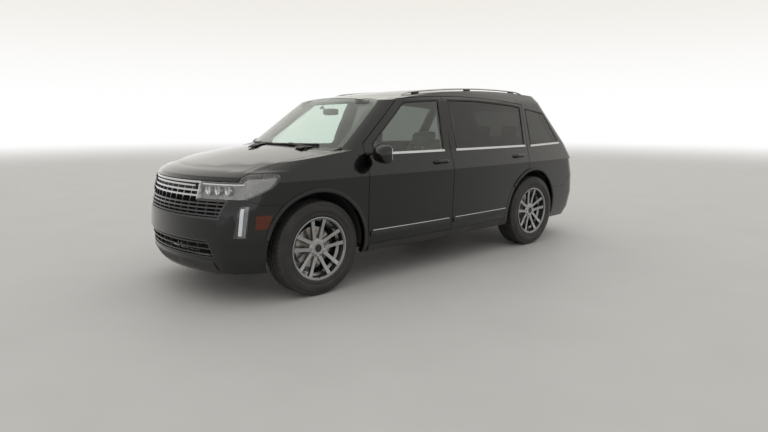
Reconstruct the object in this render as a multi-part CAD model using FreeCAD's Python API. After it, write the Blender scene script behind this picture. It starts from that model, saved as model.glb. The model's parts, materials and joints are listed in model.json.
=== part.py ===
"""A three-row sport utility vehicle, built as the real one is: unibody sides, roof and floor, hung doors, hood and
tailgate, glazing, lamps, seats, running gear and wheels, each a separate piece.

Frame: +Z up from the ground, nose towards -Y, the vehicle's left side on +X. The origin is on the ground under the
middle of the overall length. Millimetres."""

import FreeCAD, Part
import math
import os
from FreeCAD import Vector

doc = FreeCAD.newDocument("suv")

# Driving sizes: alias, value in mm or degrees, what it is
SIZES = [
    ("wheelbase", 2985, "front axle to rear axle"),
    ("front_overhang", 950, "front axle to the nose"),
    ("rear_overhang", 1155, "rear axle to the tail"),
    ("wheel_x", 822, "middle of a wheel from the centre plane"),
    ("tyre_radius", 399, "outside radius of a tyre"),
    ("tyre_width", 245, "widest section of a tyre"),
    ("tread_width", 214, "flat width of the tread"),
    ("bead_radius", 254, "radius of the bead seat"),
    ("rim_lip_radius", 266, "outside radius of the rim's lips"),
    ("rim_width", 226, "rim from lip to lip"),
    ("barrel_wall", 9, "wall of the rim's barrel"),
    ("spoke_count", 5, "pairs of spokes in a wheel"),
    ("hub_radius", 33, "bore of a wheel's centre"),
    ("lug_count", 5, "wheel nuts"),
    ("lug_circle", 127, "diameter of the wheel nuts' circle"),
    ("lug_hole_radius", 8, "hole of a wheel nut"),
    ("disc_radius", 172, "brake disc"),
    ("arch_radius", 470, "wheel opening from the wheel's centre"),
    ("arch_well_x", 462, "inner wall of a wheel well from the centre plane"),
    ("sill_z", 372, "lower edge of the doors"),
    ("crease_z", 970, "height of the shoulder crease"),
    ("belt_z", 1145, "lower edge of the side windows"),
    ("window_top_z", 1600, "upper edge of the side windows at the pillar between the doors"),
    ("skin", 16, "outer layer of a door that carries the shut lines"),
    ("door_wall", 108, "whole thickness of a door below its window"),
    ("pillar_wall", 45, "thickness of window frames, pillars and roof"),
    ("panel_wall", 40, "thickness of hood, fender and bumper with their frames"),
    ("gate_wall", 60, "thickness of the tailgate"),
    ("shut_gap", 6, "shut line between panels"),
    ("door_step", 34, "how far a door's inner part stands in from its outline"),
    ("seal_gap", 10, "room for the seal between a door's inner part and its opening"),
    ("glass", 5, "thickness of the glass"),
    ("glass_inset", 4, "glass below the outer surface"),
    ("seat_clearance", 0.3, "clearance of a piece in its seat"),
    ("floor_z", 340, "upper face of the cabin floor"),
    ("floor_wall", 24, "thickness of the floor"),
    ("door_front_y", -1085, "front shut line of the front door"),
    ("pillar_b_y", -22, "shut line between the doors"),
    ("rear_door_y", 1265, "rear shut line of the rear door below the window"),
    ("hood_cut_z", 985, "shut line of the hood over the grille"),
    ("hood_half", 812, "half width of the hood at the cowl"),
    ("bumper_rear_z", 762, "upper edge of the rear bumper"),
    ("tailgate_y", 1895, "rear edge of the roof, where the tailgate starts"),
    ("tailgate_half", 770, "half width of the tailgate at its foot"),
    ("kingpin_x", 775, "steering axis from the centre plane"),
    ("rail_x", 410, "middle of a front rail from the centre plane"),
    ("plate_hole_pitch", 178, "distance between the licence plate's screws"),
    ("plate_hole_radius", 3.2, "screw hole of the licence plate"),
]

sheet = doc.addObject("Spreadsheet::Sheet", "Sizes")
for row, (alias, value, note) in enumerate(SIZES, 1):
    sheet.set(f"A{row}", alias)
    sheet.set(f"B{row}", str(value))
    sheet.set(f"C{row}", note)
    sheet.setAlias(f"B{row}", alias)
doc.recompute()


def size(alias):
    """The value of a cell of the sheet."""
    return float(sheet.get(alias))


LENGTH = size("front_overhang") + size("wheelbase") + size("rear_overhang")
NOSE_Y = -LENGTH / 2
TAIL_Y = LENGTH / 2
FRONT_AXLE_Y = NOSE_Y + size("front_overhang")
REAR_AXLE_Y = TAIL_Y - size("rear_overhang")
AXLE_Z = size("tyre_radius")
LEFT, RIGHT = 1, -1
SIDES = (("left", LEFT), ("right", RIGHT))
FAR = 4000
X_AXIS = Vector(1, 0, 0)
Z_AXIS = Vector(0, 0, 1)
BLOCK_TURN = 18.0

# Body below the shoulder crease. Columns: height, half width, nose set back from the overall nose, tail set back
LOWER_ROWS = [
    (250, 905, 80, 90),
    (360, 945, 25, 35),
    (540, 966, 0, 0),
    (760, 970, 20, 15),
    (size("crease_z"), 985, 80, 105),
]
# Body above the crease, ahead of the doors, up over the lip of the hood. Same columns
SHOULDER_ROWS = [
    (size("crease_z"), 985, 80, 105),
    (1015, 970, 112, 128),
    (1045, 960, 165, 143),
    (1062, 954, 235, 151),
    (1150, 921, 430, 195),
    (1290, 880, 530, 250),
]
# Body above the crease with the cabin. Columns: height, half width, y of the windscreen's middle, tail set back
CABIN_ROWS = [
    (size("crease_z"), 985, -1755, 105),
    (1150, 921, -1500, 200),
    (1500, 787, -1008, 470),
    (1640, 726, -811, 561),
    (1740, 640, -671, 626),
    (1840, 500, -530, 700),
]
# Crowned tops. Columns: y and height of the highest point, radius along the vehicle, radius across it
ROOF_TOP = (900, 1786, 11000, 5400)
HOOD_TOP = (-165, 1290, 10500, 8500)

# Plan radii of the body: bow of the nose, its corner, long arc of the side, rear corner, bow of the tail
BOW_FRONT, CORNER_FRONT, BARREL, CORNER_REAR, BOW_REAR = 1500, 430, 30000, 270, 3300
SCREEN_BOW, SCREEN_CORNER, SCREEN_REAR_CORNER = 1900, 150, 190
WIDEST = 985
MID_Y = (FRONT_AXLE_Y + REAR_AXLE_Y) / 2
BARREL_X = WIDEST - BARREL


def circles_meet(c0, r0, c1, r1, upper):
    """One of the two points at r0 from c0 and r1 from c1: the one with the larger y if upper."""
    dx, dy = c1[0] - c0[0], c1[1] - c0[1]
    gap = math.hypot(dx, dy)
    along = (r0 * r0 - r1 * r1 + gap * gap) / (2 * gap)
    off = math.sqrt(r0 * r0 - along * along)
    points = [
        (c0[0] + (along * dx - s * off * dy) / gap, c0[1] + (along * dy + s * off * dx) / gap)
        for s in (1, -1)
    ]
    return max(points, key=lambda p: p[1]) if upper else min(points, key=lambda p: p[1])


def away(centre, through, radius):
    """The point at radius from centre in the direction of through."""
    dx, dy = through[0] - centre[0], through[1] - centre[1]
    k = radius / math.hypot(dx, dy)
    return (centre[0] + dx * k, centre[1] + dy * k)


def arc_about(centre, start, end, z):
    """The shorter arc about centre from start to end at height z, as the three poles and weights of a conic."""
    radius = math.hypot(start[0] - centre[0], start[1] - centre[1])
    chord_middle = ((start[0] + end[0]) / 2, (start[1] + end[1]) / 2)
    lean = math.hypot(chord_middle[0] - centre[0], chord_middle[1] - centre[1]) / radius
    tip = away(centre, chord_middle, radius / lean)
    return [Vector(*p, z) for p in (start, tip, end)], [1.0, lean, 1.0]


def ruled_solid(outlines):
    """The solid between level outlines of as many arcs each, with straight rulings from one outline to the next."""
    faces = []
    for low, high in zip(outlines, outlines[1:]):
        for (poles0, weights0), (poles1, weights1) in zip(low, high):
            surface = Part.BSplineSurface()
            surface.buildFromPolesMultsKnots(
                [list(p) for p in zip(poles0, poles1)], [3, 3], [2, 2], [0, 1], [0, 1], False, False, 2, 1,
                [list(w) for w in zip(weights0, weights1)])
            faces.append(surface.toShape())
    for outline in (outlines[0], outlines[-1]):
        edges = []
        for poles, weights in outline:
            curve = Part.BSplineCurve()
            curve.buildFromPolesMultsKnots(poles, [3, 3], [0, 1], False, 2, weights)
            edges.append(curve.toShape())
        faces.append(Part.Face(Part.Wire(edges)))
    shell = Part.makeShell(faces)
    shell.sewShape()
    solid = Part.makeSolid(shell)
    if solid.Volume < 0:
        solid.reverse()
    return solid


def waterline(z, half, front, rear, bow_f, corner_f, corner_r):
    """Closed plan outline at height z: eight arcs that run into each other."""
    nose = (0.0, front + bow_f)
    tail = (0.0, TAIL_Y - BOW_REAR)
    bow_r = rear - tail[1]
    side = (BARREL_X, MID_Y)
    long_arc = half - BARREL_X
    turn_f = circles_meet(nose, bow_f - corner_f, side, long_arc - corner_f, False)
    turn_r = circles_meet(tail, bow_r - corner_r, side, long_arc - corner_r, True)
    a, b = away(nose, turn_f, bow_f), away(side, turn_f, long_arc)
    c, d = away(side, turn_r, long_arc), away(tail, turn_r, bow_r)

    def flip(p):
        return (-p[0], p[1])

    turns = [(nose, flip(a), a), (turn_f, a, b), (side, b, c), (turn_r, c, d), (tail, d, flip(d))]
    turns += [(flip(turn_r), flip(d), flip(c)), (flip(side), flip(c), flip(b)), (flip(turn_f), flip(b), flip(a))]
    return [arc_about(m, p, q, z) for m, p, q in turns]


def body_loft(rows, inset):
    """The body between the rows' heights, set in by inset."""
    outlines = []
    for z, half, f, r in rows:
        front = NOSE_Y + f + inset
        corners = CORNER_FRONT - inset, CORNER_REAR - inset
        outlines.append(waterline(z, half - inset, front, TAIL_Y - r - inset, NOSE_Y + BOW_FRONT - front, *corners))
    return ruled_solid(outlines)


def cabin_loft(inset):
    """The cabin from the crease up, set in by inset."""
    outlines = []
    for z, half, front, r in CABIN_ROWS:
        radii = SCREEN_BOW - inset, SCREEN_CORNER - inset, SCREEN_REAR_CORNER - inset
        outlines.append(waterline(z, half - inset, front + inset, TAIL_Y - r - inset, *radii))
    return ruled_solid(outlines)


def crowned_block(top, inset=0.0):
    """Everything below a crowned top, which one arc across the vehicle makes as it turns about a far axis below."""
    y, z, along, across = top
    half, depth = 1250.0, 1700.0
    radius = across - inset
    edge = z - inset - radius + math.sqrt(radius ** 2 - half ** 2)
    a, b = Vector(-half, y, edge), Vector(half, y, edge)
    c, d = Vector(half, y, z - depth), Vector(-half, y, z - depth)
    edges = [Part.Arc(a, Vector(0, y, z - inset), b).toShape()] + [Part.makeLine(*p) for p in ((b, c), (c, d), (d, a))]
    face = Part.Face(Part.Wire(edges))
    axis = Vector(0, y, z - along)
    face.rotate(axis, X_AXIS, -BLOCK_TURN)
    return face.revolve(axis, X_AXIS, 2 * BLOCK_TURN)


def slab(x0, x1, y0, y1, z0, z1):
    return Part.makeBox(x1 - x0, y1 - y0, z1 - z0, Vector(x0, y0, z0))


def side_wire(points, x=0.0):
    """Closed outline in side view. A point is (y, z), or (y, z, y_mid, z_mid) where an arc through the middle leads to it."""
    edges = []
    for i, p in enumerate(points):
        start = points[i - 1]
        a, b = Vector(x, start[0], start[1]), Vector(x, p[0], p[1])
        if len(p) == 4:
            edges.append(Part.Arc(a, Vector(x, p[2], p[3]), b).toShape())
        else:
            edges.append(Part.makeLine(a, b))
    return Part.Wire(edges)


def side_prism(points, x0, x1, grow=0.0):
    """Side-view outline, grown by grow, run from x0 to x1."""
    wire = side_wire(points, x0)
    if grow:
        wire = wire.makeOffset2D(grow)
    return Part.Face(wire).extrude(Vector(x1 - x0, 0, 0))


def rear_prism(points, y0, y1, grow=0.0):
    """Outline of (x, z) points seen from behind, grown by grow, run from y0 to y1."""
    wire = Part.makePolygon([Vector(x, y0, z) for x, z in points + points[:1]])
    if grow:
        wire = wire.makeOffset2D(grow)
    return Part.Face(wire).extrude(Vector(0, y1 - y0, 0))


def mirrored(shape):
    return shape.mirror(Vector(0, 0, 0), Vector(1, 0, 0))


def round_wire(wire_points, radius):
    """Side-view polygon points with every corner rounded by radius, as side_wire wants them."""
    out = []
    n = len(wire_points)
    for i, p in enumerate(wire_points):
        prev, nxt = wire_points[i - 1], wire_points[(i + 1) % n]
        u = Vector(prev[0] - p[0], prev[1] - p[1], 0).normalize()
        v = Vector(nxt[0] - p[0], nxt[1] - p[1], 0).normalize()
        half = u.getAngle(v) / 2
        cut = radius / math.tan(half)
        corner = Vector(p[0], p[1], 0)
        a, b = corner + u * cut, corner + v * cut
        centre = corner + (u + v).normalize() * (radius / math.sin(half))
        mid = centre + (corner - centre).normalize() * radius
        out.append((a.x, a.y))
        out.append((b.x, b.y, mid.x, mid.y))
    return out


def add(name, shape, label=None):
    """A piece whose surface comes from the lofts above."""
    if shape.ShapeType == "Compound" and len(shape.Solids) == 1:
        shape = shape.Solids[0]
    piece = doc.addObject("Part::Feature", name)
    piece.Label = label or name
    piece.Shape = shape
    return piece


# Master surfaces of the body
gap = size("shut_gap")
skin = size("skin")
step = size("door_step")
belt = size("belt_z")
seat = size("seat_clearance")
pillar = size("pillar_wall")
door_depth = size("door_wall")
gate_wall = size("gate_wall")
seal = size("seal_gap")
glass = size("glass")
panel = size("panel_wall")
arch = size("arch_radius")
WIDE = 1300.0
BITE = 3.0
BAY_END = size("door_front_y")
NOSE_END = -1750.0
TAIL_START = 1305.0
SHELL_START = -1500.0
QUARTER_Y = size("rear_door_y") + 60
INBOARD = -120.0
FLANK_TURN = 3.5
masters = {}


def clip(shape, y0, y1):
    return shape.common(slab(-WIDE, WIDE, y0, y1, 0, FAR))


def nose(inset):
    """The body ahead of the front wheels, set in by inset."""
    parts = [clip(body_loft(rows, inset), -FAR, NOSE_END) for rows in (LOWER_ROWS, SHOULDER_ROWS)]
    return parts[0].fuse(parts[1])


def bay(inset):
    """The body ahead of the doors, under the hood's surface, set in by inset."""
    low, high = [clip(body_loft(rows, inset), -FAR, BAY_END) for rows in (LOWER_ROWS, SHOULDER_ROWS)]
    return low.fuse(high.common(crowned_block(HOOD_TOP, inset)))


def cabin(inset):
    """The body from the crease to the crowned roof, set in by inset."""
    return cabin_loft(inset).common(crowned_block(ROOF_TOP, inset))


def shell(insets):
    """The body from the windscreen back: set in by low beside the doors up to the belt, and by high elsewhere."""
    low, high = insets
    if low == high:
        return clip(body_loft(LOWER_ROWS, low), SHELL_START, FAR).fuse(clip(master(cabin, low), SHELL_START, FAR))
    beside = slab(-WIDE, WIDE, SHELL_START, QUARTER_Y, 0, belt)
    behind = slab(-WIDE, WIDE, QUARTER_Y, FAR, 0, belt)
    parts = [body_loft(LOWER_ROWS, low).common(beside), master(cabin, low).common(beside)]
    parts += [body_loft(LOWER_ROWS, high).common(behind), master(cabin, high).common(behind)]
    return parts[0].multiFuse(parts[1:] + [master(cabin, high).common(slab(-WIDE, WIDE, SHELL_START, FAR, belt, FAR))])


def tail(inset):
    """The body behind the rear doors, set in by inset."""
    low = clip(body_loft(LOWER_ROWS, inset), TAIL_START, FAR)
    return low.fuse(clip(master(cabin, inset), TAIL_START, FAR))


def between(rows, column, z):
    """A column of the rows at height z."""
    for a, b in zip(rows, rows[1:]):
        if a[0] <= z <= b[0]:
            return a[column] + (b[column] - a[column]) * (z - a[0]) / (b[0] - a[0])


def flank(insets):
    """The left side between the corners, set in by one depth below the belt and another above it."""
    low, high = insets
    rows = LOWER_ROWS + CABIN_ROWS[1:]
    at_belt = between(rows, 1, belt)
    points = [(half - low, z) for z, half, _, _ in rows if z < belt] + [(at_belt - low, belt)]
    if high != low:
        points.append((at_belt - high, belt))
    points += [(half - high, z) for z, half, _, _ in rows if z > belt]
    points += [(INBOARD, rows[-1][0]), (INBOARD, rows[0][0])]
    corners = [Vector(x, MID_Y, z) for x, z in points]
    face = Part.Face(Part.makePolygon(corners + corners[:1]))
    centre = Vector(BARREL_X, MID_Y, 0)
    face.rotate(centre, Z_AXIS, -FLANK_TURN)
    side = face.revolve(centre, Z_AXIS, 2 * FLANK_TURN)
    return side.common(crowned_block(ROOF_TOP, high))


def master(zone, inset):
    """The solid of a zone, made once."""
    key = zone.__name__, inset
    if key not in masters:
        masters[key] = zone(inset)
    return masters[key]


def wall(zone, depth0, depth1, limit):
    """The wall of a zone between two depths inside a limit."""
    return master(zone, depth0).common(limit).cut(master(zone, depth1))


def plan_prism(edges, z0=0.0, z1=2500.0):
    """A plan outline of edges at height 0, run from z0 to z1."""
    face = Part.Face(Part.Wire(edges))
    face.translate(Vector(0, 0, z0))
    return face.extrude(Vector(0, 0, z1 - z0))


def line(a, b):
    return Part.makeLine(Vector(*a), Vector(*b))


def arc3(a, m, b):
    return Part.Arc(Vector(*a), Vector(*m), Vector(*b)).toShape()


def both(shape):
    """A left piece and its mirror image in one shape."""
    solids = shape.Solids
    return Part.makeCompound(solids + [mirrored(x) for x in solids])


def wheel_space(axle_y, radius, x0=0.0, x1=WIDE):
    return Part.makeCylinder(radius, x1 - x0, Vector(x0, axle_y, AXLE_Z), Vector(1, 0, 0))


# Outlines of the openings, in side view as (y, z)
door_f = size("door_front_y")
post = size("pillar_b_y")
door_r = size("rear_door_y")
sill = size("sill_z")
win_top = size("window_top_z")
PILLAR_LEAN = 78
DOOR_TOP = 36
TOP_MID_Y = 300.0
TOP_RADIUS = 9500.0
FRAME = 50


def top_line(y, above=0.0):
    """Height of the upper edge of the side windows at y, or above it."""
    return win_top + 40 + above - (y - TOP_MID_Y) ** 2 / (2 * TOP_RADIUS)


def on_top(y, above=0.0):
    return (y, top_line(y, above))


def top_arc(y0, y1, above=0.0):
    """The outline's point at y1, reached from y0 along the upper edge."""
    return on_top(y1, above) + on_top((y0 + y1) / 2, above)


SCREEN_FOOT = (door_f, belt + 95)
front_top_y = -560
post_top = post + PILLAR_LEAN
FRONT_DOOR = [
    (door_f, sill),
    SCREEN_FOOT,
    on_top(front_top_y, DOOR_TOP),
    top_arc(front_top_y, post_top, DOOR_TOP),
    (post, belt),
    (post, sill),
]
door_r_top = door_r + 150
wheel_turn = arch + 42
REAR_LOW_Y = REAR_AXLE_Y - math.sqrt(wheel_turn ** 2 - (AXLE_Z - sill) ** 2)
ARCH_Z = AXLE_Z + math.sqrt(wheel_turn ** 2 - (REAR_AXLE_Y - door_r) ** 2)
ARCH_MID = away((REAR_AXLE_Y, AXLE_Z), (REAR_LOW_Y, ARCH_Z), wheel_turn)
REAR_DOOR = [
    (post + gap, sill),
    (post + gap, belt),
    on_top(post_top + gap, DOOR_TOP),
    top_arc(post_top + gap, door_r_top, DOOR_TOP),
    (door_r + 35, belt),
    (door_r, ARCH_Z),
    (REAR_LOW_Y, sill) + ARCH_MID,
]
FRONT_WINDOW = [
    (door_f + 95, belt + 14),
    (door_f + 105, belt + 95),
    on_top(front_top_y + 70),
    top_arc(front_top_y + 70, post_top - 70),
    (post - 95, belt + 14),
]
REAR_WINDOW = [
    (post + 95, belt + 14),
    on_top(post_top + 70),
    top_arc(post_top + 70, door_r_top - FRAME),
    (door_r - 20, belt + 14),
]
QUARTER_WINDOW = [
    (door_r + 115, belt + 10),
    on_top(door_r_top + 50, -6),
    top_arc(door_r_top + 50, 1835, -6),
    (2010, belt + 25),
]
SCREEN = [(-800, 1168), (800, 1168), (640, 1672), (-640, 1672)]
REAR_SCREEN = [(-640, 1105), (640, 1105), (545, 1600), (-545, 1600)]
gate_half = size("tailgate_half")
GATE = [
    (-gate_half, size("bumper_rear_z") + gap),
    (gate_half, size("bumper_rear_z") + gap),
    (715, belt),
    (600, 1640),
    (575, 2000),
    (-575, 2000),
    (-600, 1640),
    (-715, belt),
]
gate_y = size("tailgate_y")
ROOF_HALF = 590

# Doors
glass_inset = size("glass_inset")
OUTSIDE = (0.0, 0.0)
UNDER_SKIN = (skin, skin)
IN_DOOR = (door_depth, pillar)


def door(outline, window):
    """Left door: an outer skin to the shut line, an inner part that stands in from it, and the window."""
    outer = wall(flank, OUTSIDE, UNDER_SKIN, side_prism(outline, 400, WIDE))
    bite = (skin - BITE, skin - BITE)
    inner = wall(flank, bite, IN_DOOR, side_prism(outline, 400, WIDE, -step))
    return outer.fuse(inner).cut(side_prism(window, 400, WIDE))


DOORS = [("front", FRONT_DOOR, FRONT_WINDOW), ("rear", REAR_DOOR, REAR_WINDOW)]
for row, outline, window in DOORS:
    left_door = door(outline, window)
    pane = wall(flank, (glass_inset,) * 2, (glass_inset + glass,) * 2, side_prism(window, 400, WIDE, -seat))
    for name, sign in SIDES:
        add(f"door_{row}_{name}", left_door if sign > 0 else mirrored(left_door))
        add(f"glass_{row}_{name}", pane if sign > 0 else mirrored(pane))

# Side frames: outer panel with sill, pillars, roof rail and rear quarter, and the inner part of each
SILL_LOW = 292
TAIL_SEAM = [(2250, size("bumper_rear_z")), (2100, 640), (1780, 640)]
SIDE_REGION = [
    (door_f - gap, SILL_LOW),
    (door_f - gap, belt),
    (door_f - 400, belt),
    (door_f - 400, 2000),
    (2700, 2000),
    (2700, size("bumper_rear_z")),
] + TAIL_SEAM + [(1780, SILL_LOW)]
region = side_prism(SIDE_REGION, ROOF_HALF, WIDE)
door_cut = Part.makeCompound([side_prism(o, 300, WIDE, gap) for _, o, _ in DOORS])
screen_prism = rear_prism(SCREEN, -1700, -300)
step_cut = Part.makeCompound([side_prism(o, 300, WIDE, seal - step) for _, o, _ in DOORS])
# Stops of the tailgate: x, z
GATE_STOPS = [(691, 1200), (740, 850)]
GATE_FLANGE_X = 540
TAIL_LAMP = [(2205, 900), (2700, 872), (2700, 1040), (2235, 1040)]
deep = skin + gap
frame = wall(shell, OUTSIDE, (deep + BITE,) * 2, region.cut(door_cut).cut(screen_prism))
flanges = wall(shell, (deep, deep), IN_DOOR, region.cut(step_cut).cut(screen_prism))
STOP_R = 9.0
# Rubber stops between a door's skin and the flange of its opening: y, z
DOOR_STOPS = [(door_f + 12, 520), (door_f + 12, 900), (post - 12, 520), (post - 12, 900)]
DOOR_STOPS += [(post + gap + 12, 520), (post + gap + 12, 900), (door_r + 2, 1000)]
stop_rods = [Part.makeCylinder(STOP_R, WIDE, Vector(0, y, z), X_AXIS) for y, z in DOOR_STOPS]
stops = wall(flank, UNDER_SKIN, (deep + BITE,) * 2, Part.makeCompound(stop_rods))
stops.translate(Vector(-seat, 0, 0))
frame = frame.multiFuse([flanges, stops])
gate_ring = rear_prism(GATE, gate_y - gap, 2700, gap + 8).cut(rear_prism(GATE, gate_y - gap, 2700, seal - step))
gate_flange = wall(tail, deep, gate_wall, gate_ring.common(slab(GATE_FLANGE_X, WIDE, gate_y, FAR, size("bumper_rear_z"), FAR)))
gate_stops = []
for x, z in GATE_STOPS:
    stop = wall(tail, skin, deep + BITE, Part.makeCylinder(STOP_R, 1000, Vector(x, gate_y, z), Vector(0, 1, 0)))
    stop.translate(Vector(0, -2 * seat, 0))
    gate_stops.append(stop)
openings = [side_prism(QUARTER_WINDOW, 300, WIDE), side_prism(TAIL_LAMP, 300, WIDE), wheel_space(REAR_AXLE_Y, arch)]
openings.append(rear_prism(GATE, gate_y - gap, 2700, gap))
frame = frame.cut(Part.makeCompound(openings)).multiFuse([gate_flange] + gate_stops)
add("side_frames", both(frame))
pane = wall(tail, 0, glass, side_prism(QUARTER_WINDOW, 300, WIDE, -seat))
add("quarter_glass", both(pane))
lamp = wall(tail, 0, deep - seat, side_prism(TAIL_LAMP, 300, WIDE, -seat)).cut(rear_prism(GATE, gate_y - gap, 2700, gap))
add("tail_lamps", both(lamp))

# Roof, windscreen and cowl
roof_region = slab(-ROOF_HALF + seat, ROOF_HALF - seat, -1000, gate_y - gap, 1500, 2000)
header = slab(-560, 560, gate_y - gap - 8, gate_y + step - seal, 1500, FAR)
header = wall(cabin, deep, gate_wall, header)
add("roof", wall(cabin, 0, pillar, roof_region).cut(screen_prism).fuse(header))
add("windscreen", wall(cabin, 0, glass, rear_prism(SCREEN, -1700, -300, -seat)))
HOOD_BACK = -1505
COWL_HALF = 780
hood_half = size("hood_half")
HOOD_FRONT_HALF = 770


def cowl_y(x, y0=HOOD_BACK):
    """Rear edge of the hood, which runs along the foot of the windscreen."""
    return y0 + x * x / (2 * SCREEN_BOW)


def hood_plan(grow):
    """Plan outline of the hood, grown by grow to the sides and the back."""
    half, front = hood_half + grow, HOOD_FRONT_HALF + grow
    y = cowl_y(half) + grow
    back = arc3((-half, y, 0), (0, cowl_y(0) + grow, 0), (half, y, 0))
    corners = [(half, y, 0), (front, -2100, 0), (front, -2800, 0), (-front, -2800, 0), (-front, -2100, 0), (-half, y, 0)]
    return [back] + [line(a, b) for a, b in zip(corners, corners[1:])]


hood_cut = size("hood_cut_z")
add("hood", wall(bay, 0, panel, plan_prism(hood_plan(0), hood_cut)))
y = cowl_y(COWL_HALF) + gap
corners = [(COWL_HALF, y, 0), (COWL_HALF, -1240, 0), (-COWL_HALF, -1240, 0), (-COWL_HALF, y, 0)]
cowl_plan = [arc3(corners[3], (0, cowl_y(0) + gap, 0), corners[0])] + [line(a, b) for a, b in zip(corners, corners[1:])]
cowl = crowned_block(HOOD_TOP, 12).common(plan_prism(cowl_plan)).cut(crowned_block(HOOD_TOP, 34))
add("cowl", cowl.cut(master(cabin, 0)))

# Front: lamps, grilles, bumper and fenders
LAMP_INNER = 470
LAMP_LOW = 850
lamp_top = hood_cut - gap
LAMP = [
    (-2800, LAMP_LOW), (-2190, LAMP_LOW), (-2010, 930), (-1930, 1010), (-1950, 1040), (-2140, 1036),
    (-2300, lamp_top), (-2800, lamp_top),
]
lamp = wall(bay, 0, panel, side_prism(LAMP, LAMP_INNER + seat, WIDE, -seat))
lamp = lamp.cut(plan_prism(hood_plan(gap), lamp_top))
add("headlamps", both(lamp))
GRILLE_LOW, GRILLE_FOOT, GRILLE_LEAN = 695, 690, 0.36
GRILLE_TOP = LAMP_LOW - 4


def grille_half(z):
    """Half width of the dark part of the grille at height z."""
    return GRILLE_FOOT + GRILLE_LEAN * (z - GRILLE_LOW)


GRILLE = [(-GRILLE_FOOT, GRILLE_LOW), (GRILLE_FOOT, GRILLE_LOW), (grille_half(GRILLE_TOP), GRILLE_TOP)]
GRILLE += [(LAMP_INNER, GRILLE_TOP), (LAMP_INNER, lamp_top)]
GRILLE += [(-x, z) for x, z in reversed(GRILLE[2:])]
INTAKE = [(-640, 385), (640, 385), (600, 535), (-600, 535)]


def nose_y(z):
    """The nose on the centre line at height z, between the rows of the body."""
    return NOSE_Y + between(LOWER_ROWS + SHOULDER_ROWS[1:], 2, z)


def bowed(z0, z1, near, far):
    """The bowed front between two heights and two depths, turned about the upright axis of its bow."""
    heights = [z0] + [row[0] for row in LOWER_ROWS + SHOULDER_ROWS[1:] if z0 < row[0] < z1] + [z1]
    points = [Vector(0, nose_y(z) + near, z) for z in heights]
    points += [Vector(0, nose_y(z) + far, z) for z in reversed(heights)]
    face = Part.Face(Part.makePolygon(points + points[:1]))
    axis = Vector(0, NOSE_Y + BOW_FRONT, 0)
    face.rotate(axis, Z_AXIS, -BOW_TURN)
    return face.revolve(axis, Z_AXIS, 2 * BOW_TURN)


BOW_TURN = 34.0
BORDER_DEPTH = (4, 34)
BAR_DEPTH = (9, 30)
RIB_DEPTH = (16, 28)
RIB = 6.0


def grille(outline, bars, pitch, ring):
    """A recessed grille: border, level bars that follow the nose, and upright ribs between them."""
    low, high = min(z for _, z in outline), max(z for _, z in outline)
    opening = rear_prism(outline, -2700, -2000, -ring / 2)
    whole = rear_prism(outline, -2700, -2000, -seat).cut(rear_prism(outline, -2700, -2000, -ring))
    border = bowed(low, high, *BORDER_DEPTH).common(whole)
    parts = [bowed(z - thick / 2, z + thick / 2, *BAR_DEPTH) for z, thick in bars]
    count = int(max(x for x, _ in outline) / pitch)
    slabs = [slab(i * pitch - RIB / 2, i * pitch + RIB / 2, -FAR, -2000, bars[0][0], bars[-1][0])
             for i in range(-count, count + 1)]
    ribs = bowed(bars[0][0], bars[-1][0], *RIB_DEPTH).common(Part.makeCompound(slabs))
    lattice = Part.makeCompound(parts).common(opening)
    return border.multiFuse([lattice, ribs.common(opening)])


UPPER_BARS = [(724, 12), (753, 12), (782, 12), (811, 12), (868, 14), (906, 14), (944, 16)]
LOWER_BARS = [(415, 12), (460, 12), (505, 12)]
upper_grille = grille(GRILLE, UPPER_BARS, 93.0, 16)
lower_grille = grille(INTAKE, LOWER_BARS, 120.0, 14)
add("grille", Part.makeCompound(upper_grille.Solids + lower_grille.Solids))
BUMPER = [(-2800, 255), (-1960, 255), (-1960, 700), (-1880, 790), (-2100, 806), (-2200, 846), (-2800, 846)]
CORNER_LAMP = [(790, 560), (850, 560), (862, 800), (815, 800)]
CORNER_LAMP_BACK = -2170
MARKER = [(-2150, 615), (-2045, 615), (-2010, 725), (-2140, 725)]
GRILLE_HOLE = [(-GRILLE_FOOT, GRILLE_LOW), (GRILLE_FOOT, GRILLE_LOW)]
GRILLE_HOLE += [(s * grille_half(LAMP_LOW + 10), LAMP_LOW + 10) for s in (1, -1)]
FENDER_FRONT = -2195
PILLAR_FOOT_Y = -1200
openings = [rear_prism(GRILLE_HOLE, -2800, -2000), rear_prism(INTAKE, -2800, -2000)]
openings += [rear_prism([(s * x, z) for x, z in CORNER_LAMP], -2800, CORNER_LAMP_BACK) for s in (1, -1)]
openings += [side_prism(MARKER, 800 * s, WIDE * s) for s in (1, -1)]
bumper = wall(nose, 0, panel, side_prism(BUMPER, -WIDE, WIDE))
bumper = bumper.cut(Part.makeCompound(openings)).cut(wheel_space(FRONT_AXLE_Y, arch, -WIDE, WIDE))
add("front_bumper", bumper)
add("side_markers", both(wall(nose, 0, panel, side_prism(MARKER, 800, WIDE, -seat))))
add("corner_lamps", both(wall(nose, 0, panel, rear_prism(CORNER_LAMP, -2800, CORNER_LAMP_BACK, -seat))))
fender = wall(bay, 0, panel, slab(300, WIDE, FENDER_FRONT, door_f - gap, SILL_LOW, FAR))
fender = fender.cut(plan_prism(hood_plan(gap), 900)).cut(side_prism(LAMP, LAMP_INNER, WIDE))
fender = fender.cut(side_prism(BUMPER, 0, WIDE, 2)).cut(wheel_space(FRONT_AXLE_Y, arch))
pillar_foot = belt - gap
fender = fender.cut(slab(0, WIDE, PILLAR_FOOT_Y, 0, pillar_foot, FAR))
fender = fender.cut(master(cabin, 0).common(slab(0, WIDE, -FAR, PILLAR_FOOT_Y, pillar_foot, FAR)))
fender = fender.cut(slab(0, COWL_HALF + seat, -1560, 0, 900, FAR))
add("fenders", both(fender))

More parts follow.
